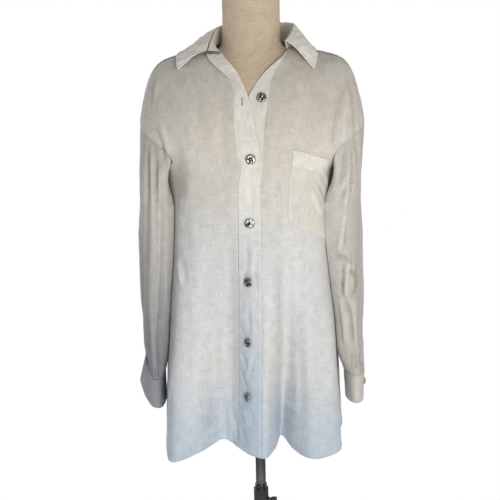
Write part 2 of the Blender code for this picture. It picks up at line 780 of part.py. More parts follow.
def make_buttons(material, collection):
    table = read_table(BUTTONS)
    for number, angle, station, layers, turn in zip(*table.values()):
        tilt = np.radians(turn)
        lift = layers * LAYER + WALL / 2 + 0.5 * MM + 0.82 * BUTTON_RADIUS * np.sin(tilt)
        button = rounded_disc(f"button_{number:.0f}", BUTTON_RADIUS, BUTTON_HEIGHT, material, collection)
        place = on_cloth(angle, station, lift)
        swing = Matrix.Rotation(-tilt, 4, "Z")
        button.matrix_world = Matrix.Translation(place.translation) @ swing @ place.to_3x3().to_4x4()
    left = rounded_disc("cuff_button_left", CUFF_BUTTON_RADIUS, BUTTON_HEIGHT, material, collection)
    left.matrix_world = on_cuff(closed_cuff_edge(792, 16.5, 49), 2)
    right = rounded_disc("cuff_button_right", CUFF_BUTTON_RADIUS, BUTTON_HEIGHT, material, collection)
    middle = (open_cuff_edge("top") + open_cuff_edge("bottom")) / 2
    right.matrix_world = on_cuff(middle, len(middle) - 2)


def on_cuff(ring, place):
    """A matrix that lays a button on the outside of a cuff, at one of its columns."""
    along = ring[place + 1] - ring[place - 1]
    out = np.cross(along, [0, 0, 1.0])
    away = ring[place] - ring.mean(0)
    out *= np.sign((out * away).sum()) / np.linalg.norm(out)
    return place_along(ring[place] + out * (0.75 * WALL + 0.6 * MM), out)


# ---------------------------------------------------------------- the dress form and stand
def make_form(cloth, material, collection):
    table = read_table(FORM_SECTIONS)
    rows = np.arange(len(table["half"]))
    fine = np.linspace(0, rows[-1], 32)
    at = {name: curve(rows, column)(fine)[:, None] for name, column in table.items()}
    angle = np.linspace(-180, 180, 30, endpoint=False)[None]
    x, y = ring_point(angle, at["half"], at["front"], at["back"], at["square"])
    z = ring_height(angle, at["z_front"], at["z_side"], at["z_back"])
    points = np.stack([x, y, z], -1) * MM
    points = keep_clear(points, cloth, FORM_CLEARANCE, side=-1, farthest=12 * MM)
    mesh = grid_mesh("dress_form", points, closed=True)
    edit = bmesh.new()
    edit.from_mesh(mesh)
    edges = [edge for edge in edit.edges if edge.is_boundary]
    bmesh.ops.holes_fill(edit, edges=edges)
    bmesh.ops.recalc_face_normals(edit, faces=edit.faces)
    edit.to_mesh(mesh)
    edit.free()
    return add_object("dress_form", mesh, material, collection)


def make_stand(metal, black, cap_material, collection):
    cap = [(0, 12), (30, 11.4), (44, 8.4), (49, 4), (49.6, 0), (0, 0)]
    cap_bottom = NECK_TOP + STAND_GAP
    turned("neck_cap", [(r * MM, cap_bottom + z * MM) for r, z in cap], 32, cap_material, collection)
    flange_top = FORM_BOTTOM - STAND_GAP
    upper = [
        (0, flange_top),
        (42 * MM, flange_top),
        (42 * MM, flange_top - 4 * MM),
        (14 * MM, flange_top - 6 * MM),
        (13 * MM, flange_top - 30 * MM),
        (UPPER_POLE_RADIUS, flange_top - 31 * MM),
        (UPPER_POLE_RADIUS, UPPER_POLE_BOTTOM),
        (0, UPPER_POLE_BOTTOM),
    ]
    turned("pole_upper", upper, 24, metal, collection)
    pole_foot = BASE_THICKNESS + STAND_GAP
    lower = [
        (LOWER_POLE_BORE, LOWER_POLE_TOP),
        (LOWER_POLE_RADIUS - MM, LOWER_POLE_TOP),
        (LOWER_POLE_RADIUS, LOWER_POLE_TOP - MM),
        (LOWER_POLE_RADIUS, pole_foot),
        (LOWER_POLE_BORE, pole_foot),
        (LOWER_POLE_BORE, LOWER_POLE_TOP),
    ]
    turned("pole_lower", lower, 24, metal, collection)
    socket = LOWER_POLE_RADIUS + STAND_GAP
    base = [
        (0, BASE_THICKNESS),
        (socket, BASE_THICKNESS),
        (socket, 45 * MM),
        (socket + 4 * MM, 45 * MM),
        (socket + 7 * MM, 20 * MM),
        (40 * MM, BASE_THICKNESS + 3 * MM),
        (BASE_RADIUS - 8 * MM, BASE_THICKNESS),
        (BASE_RADIUS, BASE_THICKNESS - 5 * MM),
        (BASE_RADIUS, 0),
        (0, 0),
    ]
    turned("base_plate", base, 48, metal, collection)
    make_clamp(metal, black, collection)


def cylinder(name, radius, depth, location, rotation, sides, collection):
    """A closed cylinder from bmesh's cone, with its place and turn on the object."""
    mesh = bpy.data.meshes.new(name)
    edit = bmesh.new()
    bmesh.ops.create_cone(
        edit, cap_ends=True, segments=sides, radius1=radius, radius2=radius, depth=depth
    )
    edit.to_mesh(mesh)
    edit.free()
    mesh.shade_smooth()
    mesh.set_sharp_from_angle(angle=pi / 5)
    obj = bpy.data.objects.new(name, mesh)
    obj.location = location
    obj.rotation_euler = rotation
    collection.objects.link(obj)
    return obj


def make_clamp(metal, black, collection):
    """A ring on the lower pole with a boss for the screw that grips the upper pole."""
    cutters = bpy.data.collections.new("cutters")
    bpy.context.scene.collection.children.link(cutters)
    height = CLAMP_TOP - CLAMP_BOTTOM
    upright = ((0, 0, (CLAMP_TOP + CLAMP_BOTTOM) / 2), (0, 0, 0))
    lying = (0, pi / 2, 0)
    boss_middle = ((BOSS_FACE_X + BOSS_START_X) / 2, 0, CLAMP_SCREW_Z)
    hole_middle = (BOSS_FACE_X / 2 + BOSS_RADIUS, 0, CLAMP_SCREW_Z)
    ring = cylinder("clamp", CLAMP_RADIUS, height, *upright, 32, collection)
    ring.data.materials.append(metal)
    boss = cylinder("boss", BOSS_RADIUS, BOSS_FACE_X - BOSS_START_X, boss_middle, lying, 20, cutters)
    bore = cylinder("bore", LOWER_POLE_RADIUS + STAND_GAP, 2 * height, *upright, 24, cutters)
    hole = cylinder("hole", SCREW_BORE, BOSS_FACE_X, hole_middle, lying, 24, cutters)
    for cutter, operation in ((boss, "UNION"), (bore, "DIFFERENCE"), (hole, "DIFFERENCE")):
        cutter.hide_render = True
        cutter.display_type = "WIRE"
        cut = ring.modifiers.new(cutter.name, "BOOLEAN")
        cut.operation = operation
        cut.object = cutter
    screw = [(0, 13), (5, 13), (6, 12), (6, 3), (4, 1.2), (4, 0.3), (2.7, 0.3), (2.7, -4.5), (0, -4.5)]
    knob = turned("clamp_screw", [(r * MM, z * MM) for r, z in screw], 16, black, collection)
    knob.location = (BOSS_FACE_X, 0, CLAMP_SCREW_Z)
    knob.rotation_euler = lying


def main():
    for obj in list(bpy.data.objects):
        bpy.data.objects.remove(obj)
    collection = bpy.data.collections.new("linen_shirt_on_dress_form")
    bpy.context.scene.collection.children.link(collection)
    linen = make_material("linen", (0.78, 0.76, 0.71), 0.9)
    silver = make_material("silver", (0.55, 0.54, 0.52), 0.35, 1.0)
    form_linen = make_material("form_linen", (0.66, 0.57, 0.44), 0.9)
    chrome = make_material("dark_chrome", (0.25, 0.24, 0.23), 0.3, 1.0)
    black = make_material("black_plastic", (0.03, 0.03, 0.03), 0.5)
    wood = make_material("varnished_wood", (0.32, 0.19, 0.1), 0.5)
    grids = make_body(linen, collection)
    outermost = ("front_left", "front_right", "band_left", "yoke", "back")
    cloth = search_tree([grids[name] for name in outermost])
    make_sleeves(cloth, linen, collection)
    make_cuffs(linen, collection)
    make_collar(linen, collection)
    make_pocket(cloth, linen, collection)
    make_buttons(silver, collection)
    make_form(cloth, form_linen, collection)
    make_stand(chrome, black, wood, collection)


main()
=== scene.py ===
"""Looks for the linen shirt on its dress form: finer cloth, seams, folds and materials.

The cloth lies on the same draped surface as the solids, cloth_point(angle, station): the
angle goes round the pole's axis (0 front, +90 wearer's left) and the station runs from the
neckline, 0, to the hem, 14. Tables are in millimetres, everything made from them in metres.
"""

from math import pi

import bmesh
import bpy
import numpy as np
from mathutils import Matrix, Vector
from mathutils.bvhtree import BVHTree


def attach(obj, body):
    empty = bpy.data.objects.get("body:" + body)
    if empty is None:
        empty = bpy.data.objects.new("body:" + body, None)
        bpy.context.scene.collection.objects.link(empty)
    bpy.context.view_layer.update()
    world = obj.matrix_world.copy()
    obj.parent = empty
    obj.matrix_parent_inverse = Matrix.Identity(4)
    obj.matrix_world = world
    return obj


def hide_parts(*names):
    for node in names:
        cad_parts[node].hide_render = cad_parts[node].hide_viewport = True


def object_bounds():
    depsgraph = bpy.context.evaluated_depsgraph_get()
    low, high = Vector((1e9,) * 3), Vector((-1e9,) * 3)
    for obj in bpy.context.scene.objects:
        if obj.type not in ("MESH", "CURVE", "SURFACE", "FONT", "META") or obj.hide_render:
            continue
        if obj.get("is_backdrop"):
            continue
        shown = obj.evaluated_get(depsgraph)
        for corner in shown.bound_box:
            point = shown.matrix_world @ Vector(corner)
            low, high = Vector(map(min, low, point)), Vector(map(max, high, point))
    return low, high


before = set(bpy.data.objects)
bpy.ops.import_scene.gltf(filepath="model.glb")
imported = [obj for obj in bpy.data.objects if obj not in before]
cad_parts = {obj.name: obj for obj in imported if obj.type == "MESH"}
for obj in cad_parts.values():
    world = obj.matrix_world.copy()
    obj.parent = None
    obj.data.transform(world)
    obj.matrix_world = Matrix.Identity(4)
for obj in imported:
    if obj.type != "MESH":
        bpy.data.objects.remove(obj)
cad_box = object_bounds()

MM = 0.001
CLOTH = 0.6 * MM  # thickness of one layer as it shows
FOLDED = 1.1 * MM  # thickness of a folded band, cuff or collar
LAYER = 1.8 * MM  # from the middle of one layer to the middle of the next
SLEEVE_CLEARANCE = 1.6 * MM
FORM_CLEARANCE = 0.9 * MM
DOUBLED = 0.6 * MM  # how far a doubled strip, such as a hem, stands proud
HEM_WIDTH = 7 * MM
SEAM_WIDTH = 6 * MM

HEM = 14
FOLD_GROWTH = 1.7
ARMHOLE_STATION = 8
ARMHOLE_HALF_DEG = 34
YOKE_TURN = 306
YOKE_MID_STATION = 4.5
YOKE_SEAM_BEND = 2.4
ROW_BEND = 2.5
BUTTON_RADIUS = 9 * MM
CUFF_BUTTON_RADIUS = 7 * MM

# ---------------------------------------------------------------- section tables (mm)
# The draped shirt: one closed ring for each station, higher at the sides than in front
# until it hangs level. 'square' is the power of the ring's superellipse.
SHIRT_SECTIONS = """
station middle_x half front back square z_front z_side z_back
0 2 66 74 59 2.2 1372 1401 1412
1 1 96 83 75 2.1 1345 1396 1396
2 0 130 98 87 2.1 1317 1387.5 1374
3 -1 157 109 96 2.1 1290 1378 1348
4 -2 173 117 101 2.15 1268 1362 1322
5 -2 185 124 105 2.25 1246 1334 1294
6 -2 193 130 107 2.35 1226 1301 1266
7 -2 198 134 109 2.45 1208 1263 1240
8 -4 170 138 111 2.5 1190 1223 1213
9 -7 152 140 112 2.5 1172 1187 1184
10 -8 151 141 113 2.5 1118 1120 1119
11 -8 152 141 115 2.5 1018 1018 1018
12 -8 155 142 119 2.45 905 905 905
13 -8 160 143 123 2.4 792 792 792
14 -8 165 144 126 2.35 682 682 682
"""

# The folds the hem falls into. Each row is a crest or a valley: its place round the ring,
# where the hem is there, how far it is lifted, and the station where it begins to show.
HEM_FOLDS = """
angle x y lift begins
-165 -34 152 0 9.5
-148 -70 100 12 10
-130 -118 128 0 9.5
-110 -150 66 8 10
-92 -172 20 2 9.5
-76 -173 -52 0 9.5
-61 -158 -136 -2 10
-46 -112 -116 6 10
-31 -70 -70 13 9.6
-19 -54 -74 8 9.6
-8.8 -40 -86 3 9.6
3.5 -10 -114 -3 9.6
10 10 -120 -4 9.6
15.5 26 -92 2 10
23 38 -52 12 10
33 60 -98 2 10
49 100 -134 -3 9.6
62 143 -108 2 10
76 143 -44 8 9.6
92 158 22 3 9.6
107 156 84 0 9.6
124 104 88 10 10
142 80 138 0 9.6
160 34 104 10 10
178 2 118 4 10
"""

# Soft folds that hang from the bust, the armholes and the yoke and fade before the hem:
# 'depth' in or out, 'width' to where it ends, and the stations it begins, is deepest at, ends.
BODY_FOLDS = """
angle depth width begins deepest ends
66 -7 16 8.4 9.8 13.4
-66 -6 16 8.6 9.8 13
9 9 16 9.6 11.3 15.5
-17 -13 18 9.6 11.3 15.5
-112 -8 18 8.4 9.6 13.4
112 -8 18 8.4 9.6 13.4
-150 5 16 5 9 13
150 5 16 5 9 13
180 -6 16 4.5 9 13
36 -3 14 7 9.4 11.5
-34 -3 16 7 9.4 11.5
"""

# The edges of the open neck, as angles by station. 'fold' is where the right front turns
# out, 'right_seam' its band's inner seam, 'left_edge' and 'left_seam' the left front's.
FRONT_EDGES = """
station fold right_seam left_edge left_seam
0 -46 -56 52 60
0.25 -33 -47 29 43
0.6 -22 -38 15 31
1.07 -14.6 -29 5 23
1.5 -9.5 -23.5 -0.8 18.5
2 -4.6 -19.5 -4.8 15.6
3 0 -16.8 -5.8 12.4
4.5 3 -15 -7 9.4
6 5 -13.4 -8.2 7.6
7 6.8 -8.8 -8.8 6.8
14 6.8 -8.8 -8.8 6.8
"""

# The turned-out top of the right band: where it folds and where its free edge lies.
TURNED_BAND = """
fold fold_station edge edge_station
-6.5 1.85 -8.5 1.85
-9.5 1.5 -15 1.52
-14.6 1.07 -25 1.36
-22 0.6 -37 1.22
-33 0.25 -50 1.1
-44 0.05 -61 0.9
"""

# The collar round the neck, from its right front end to its left: where its stand is sewn
# on, where its top roll runs, and where its lower edge lies on the shirt.
COLLAR_SECTIONS = """
foot roll_x roll_y roll_z edge edge_station edge_lift
305 -76 -47 1396 297 2.85 3.6
290 -70 -26 1414 284 2.15 5
268 -61 4 1431 264 1.38 5
238 -48 40 1438 238 1.2 7
210 -25 61 1441 210 1.2 8
180 3 67 1442 180 1.2 8
150 34 60 1441 150 1.2 8
122 60 37 1440 122 1.22 7
92 71 2 1436 94 1.2 6
72 66 -34 1422 73 1.65 5
57 57 -54 1409 55 2.42 3.6
"""

# One sleeve below its armhole: rings with their height, middle, half sizes and the depth
# of the long folds in them.
SLEEVE_SECTIONS = """
down z left_x right_x y half_x half_y fold
1 1150 163 -176 -14 30 88 2
2 1085 163 -180 -20 30 84 3
3 1010 165 -182 -22 29 78 4
4 940 168 -184 -22 28 73 4
5 876 171 -187 -21 26 68 4
6 838 175 -190 -18 22 61 4
7 808 178 -193 -14 17 51 3
"""

# The right cuff is unbuttoned: its front end flares out and up. Places round the sleeve,
# from the front end past the body's side to the back end.
OPEN_CUFF = """
turn x y top bottom
0 -219 -30 846 800
25 -212 -48 828 780
50 -200 -60 814 763
90 -188 -64 809 756
135 -178 -50 808 754
180 -175 -12 808 754
225 -178 24 808 754
270 -190 38 808 754
315 -201 26 808 755
342 -206 0 809 757
"""

# The left cuff is buttoned: an oval band, 57 mm deep.
CUFF_TOP, CLOSED_CUFF_BOTTOM = 808, 756

# The chest pocket, from its side near the front band to its side near the sleeve.
POCKET_SECTIONS = """
side top_angle top_station bottom_angle bottom_station
0 27.2 6.5 24.6 10.04
0.12 29.9 6.72 27.9 10.17
0.5 38.4 7.32 42.5 10.37
0.88 48.3 7.87 60 10.58
1 51.6 8.03 66 10.63
"""

# The buttons: six down the front (the top one is on the left front, undone).
BUTTONS = """
number angle station lift turn
1 8.4 2.1 0 0
2 -2.1 6.6 1 0
3 -0.8 10.12 1 0
4 -1 11.11 1 12
5 -1 12.07 1 18
6 -1 12.98 1 18
"""

# The dress form's own rings; it follows the inside of the shirt over the shoulders.
FORM_SECTIONS = """
half front back square z_front z_side z_back
50.6 50.6 50.6 2 1495 1495 1495
50.6 50.6 50.6 2 1440 1440 1440
51.2 51.2 51 2 1418 1420 1424
54 54 53 2 1398 1404 1410
62 62 56 2.1 1377 1397.7 1403
94.2 80.5 71.6 2.1 1345.6 1393.4 1393
127.5 95.5 84 2.1 1315.6 1385 1371
154.5 106.5 93 2.1 1288.6 1375.3 1345
169.5 114.5 98 2.15 1266.6 1358.8 1319
176 120.5 101 2.25 1244.6 1331 1291
174 125.5 103 2.3 1224.6 1299 1263
164 129 104 2.2 1206.6 1261 1237
142 132 103 2.15 1189.6 1223 1211
131 133 102 2.1 1171.6 1185 1183
128 132 99 2.1 1130 1130 1130
118 108 89 2.1 1060 1060 1060
111 94 84 2.1 1000 1000 1000
120 95 92 2.1 935 935 935
130 98 97 2.1 880 880 880
132 99 99 2.1 852 852 852
"""


# ---------------------------------------------------------------- tables and curves
def read_table(text):
    """The columns of a table, by name."""
    names, *rows = [line.split() for line in text.strip().splitlines()]
    values = np.array(rows, float)
    return {name: values[:, i] for i, name in enumerate(names)}


def smooth(x):
    x = np.clip(x, 0, 1)
    return x * x * (3 - 2 * x)


def curve(places, values):
    """A smooth curve through a column, which never overshoots between two rows."""
    steps = np.diff(places)
    slopes = np.diff(values) / steps
    tangents = np.concatenate([slopes[:1], np.zeros(len(slopes) - 1), slopes[-1:]])
    for i in range(1, len(slopes)):
        if slopes[i - 1] * slopes[i] > 0:
            w1 = 2 * steps[i] + steps[i - 1]
            w2 = steps[i] + 2 * steps[i - 1]
            tangents[i] = (w1 + w2) / (w1 / slopes[i - 1] + w2 / slopes[i])

    def at(x):
        x = np.clip(x, places[0], places[-1])
        i = np.clip(np.searchsorted(places, x, "right") - 1, 0, len(steps) - 1)
        h = steps[i]
        u = (x - places[i]) / h
        return (
            (1 + 2 * u) * (1 - u) ** 2 * values[i]
            + u * (1 - u) ** 2 * h * tangents[i]
            + u * u * (3 - 2 * u) * values[i + 1]
            + u * u * (u - 1) * h * tangents[i + 1]
        )

    return at


def loop_curve(angles, values):
    """A smooth closed curve through values given round the ring, in degrees."""
    angles = np.concatenate([angles - 360, angles, angles + 360])
    values = np.tile(values, 3)
    tangents = np.gradient(values, angles)

    def at(x):
        x = (x + 180) % 360 - 180
        i = np.searchsorted(angles, x, "right") - 1
        h = angles[i + 1] - angles[i]
        u = (x - angles[i]) / h
        return (
            (1 + 2 * u) * (1 - u) ** 2 * values[i]
            + u * (1 - u) ** 2 * h * tangents[i]
            + u * u * (3 - 2 * u) * values[i + 1]
            + u * u * (u - 1) * h * tangents[i + 1]
        )

    return at


def ring_point(angle, half, front, back, square):
    """x and y where a direction meets a superellipse with unlike front and back."""
    across = np.sin(np.radians(angle))
    ahead = np.cos(np.radians(angle))
    depth = np.where(ahead > 0, front, back)
    radius = (np.abs(across / half) ** square + np.abs(ahead / depth) ** square) ** (-1 / square)
    return radius * across, -radius * ahead


def ring_height(angle, z_front, z_side, z_back):
    ahead = np.cos(np.radians(angle))
    return z_side + (np.where(ahead > 0, z_front, z_back) - z_side) * ahead**2


# ---------------------------------------------------------------- the draped surface
shirt = read_table(SHIRT_SECTIONS)
shirt_curves = {name: curve(shirt["station"], column) for name, column in shirt.items()}
folds = read_table(HEM_FOLDS)
body_folds = read_table(BODY_FOLDS)


def smooth_ring(angle, station):
    """The shirt without its folds, in mm."""
    at = {name: column(station) for name, column in shirt_curves.items()}
    x, y = ring_point(angle, at["half"], at["front"], at["back"], at["square"])
    z = ring_height(angle, at["z_front"], at["z_side"], at["z_back"])
    return np.stack([x + at["middle_x"], y, z], -1)


hem_at_folds = smooth_ring(folds["angle"], np.full(len(folds["angle"]), float(HEM)))
fold_shift = [
    loop_curve(folds["angle"], folds["x"] - hem_at_folds[:, 0]),
    loop_curve(folds["angle"], folds["y"] - hem_at_folds[:, 1]),
    loop_curve(folds["angle"], folds["lift"]),
]
fold_begins = loop_curve(folds["angle"], folds["begins"])


def draped(angle, station):
    """The shirt with its folds, in metres."""
    points = smooth_ring(angle, station)
    begins = fold_begins(angle)
    grown = np.clip((station - begins) / (HEM - begins), 0, 1) ** FOLD_GROWTH
    for axis, shift in enumerate(fold_shift):
        points[..., axis] += grown * shift(angle)
    for i, centre in enumerate(body_folds["angle"]):
        away = np.abs((angle - centre + 180) % 360 - 180) / body_folds["width"][i]
        begins, deepest, ends = (body_folds[name][i] for name in ("begins", "deepest", "ends"))
        rising = (station - begins) / (deepest - begins)
        falling = (ends - station) / (ends - deepest)
        along = np.minimum(rising, falling)
        depth = body_folds["depth"][i] * smooth(1 - away) * smooth(along)
        points[..., 0] += depth * np.sin(np.radians(angle))
        points[..., 1] -= depth * np.cos(np.radians(angle))
    return points * MM


def cloth_point(angle, station, lift=0.0):
    """Points of the shirt's surface, moved out by lift (metres)."""
    angle, station, lift = np.broadcast_arrays(
        np.asarray(angle, float), np.asarray(station, float), np.asarray(lift, float)
    )
    points = draped(angle, station)
    across = draped(angle + 0.6, station) - draped(angle - 0.6, station)
    low = np.clip(station - 0.03, 0, HEM)
    high = np.clip(station + 0.03, 0, HEM)
    down = draped(angle, high) - draped(angle, low)
    out = np.cross(down, across)
    out /= np.linalg.norm(out, axis=-1, keepdims=True)
    return points + out * lift[..., None]


# ---------------------------------------------------------------- seam lines
front_edges = read_table(FRONT_EDGES)
edge_at = {name: curve(front_edges["station"], column) for name, column in front_edges.items()}


def armhole(turn):
    """The armhole's edge, as angles and stations: its top at 0, its front at 90, underarm at 180."""
    turn = np.radians(turn)
    return 90 - ARMHOLE_HALF_DEG * np.sin(turn), ARMHOLE_STATION - np.cos(turn)


ARMHOLE_TOP, ARMHOLE_BOTTOM = ARMHOLE_STATION - 1, ARMHOLE_STATION + 1
YOKE_END_DEG, YOKE_END_STATION = armhole(YOKE_TURN)

SHOULDER_ROWS = np.array([0, 0.3, 0.65, 1.07, 1.6, 2.3, 3.2, 4.4, 5.7])
LOWER_ROWS = np.linspace(ARMHOLE_BOTTOM, HEM, 11)[1:]
BAND_ROWS = np.concatenate(
    [[0, 0.3, 0.65, 1.07, 1.6, 2.2, 2.9, 3.7, 4.5], np.linspace(5.2, 9.3, 11), np.linspace(9.7, HEM, 10)]
)


def yoke_front(station):
    """The yoke's front seam: it runs ahead of the shoulder's ridge and ends at the armhole's top."""
    ahead = np.exp(-station / 1.7) - np.exp(-ARMHOLE_TOP / 1.7)
    return 90 - 17 * ahead - 2.2 * (1 - station / ARMHOLE_TOP)


def yoke_seam(part):
    """The yoke's seam across the back, by the share of the way from its middle to its end."""
    angle = 180 + (180 - YOKE_END_DEG) * part
    drop = (YOKE_END_STATION - YOKE_MID_STATION) * np.abs(part) ** YOKE_SEAM_BEND
    return angle, YOKE_MID_STATION + drop


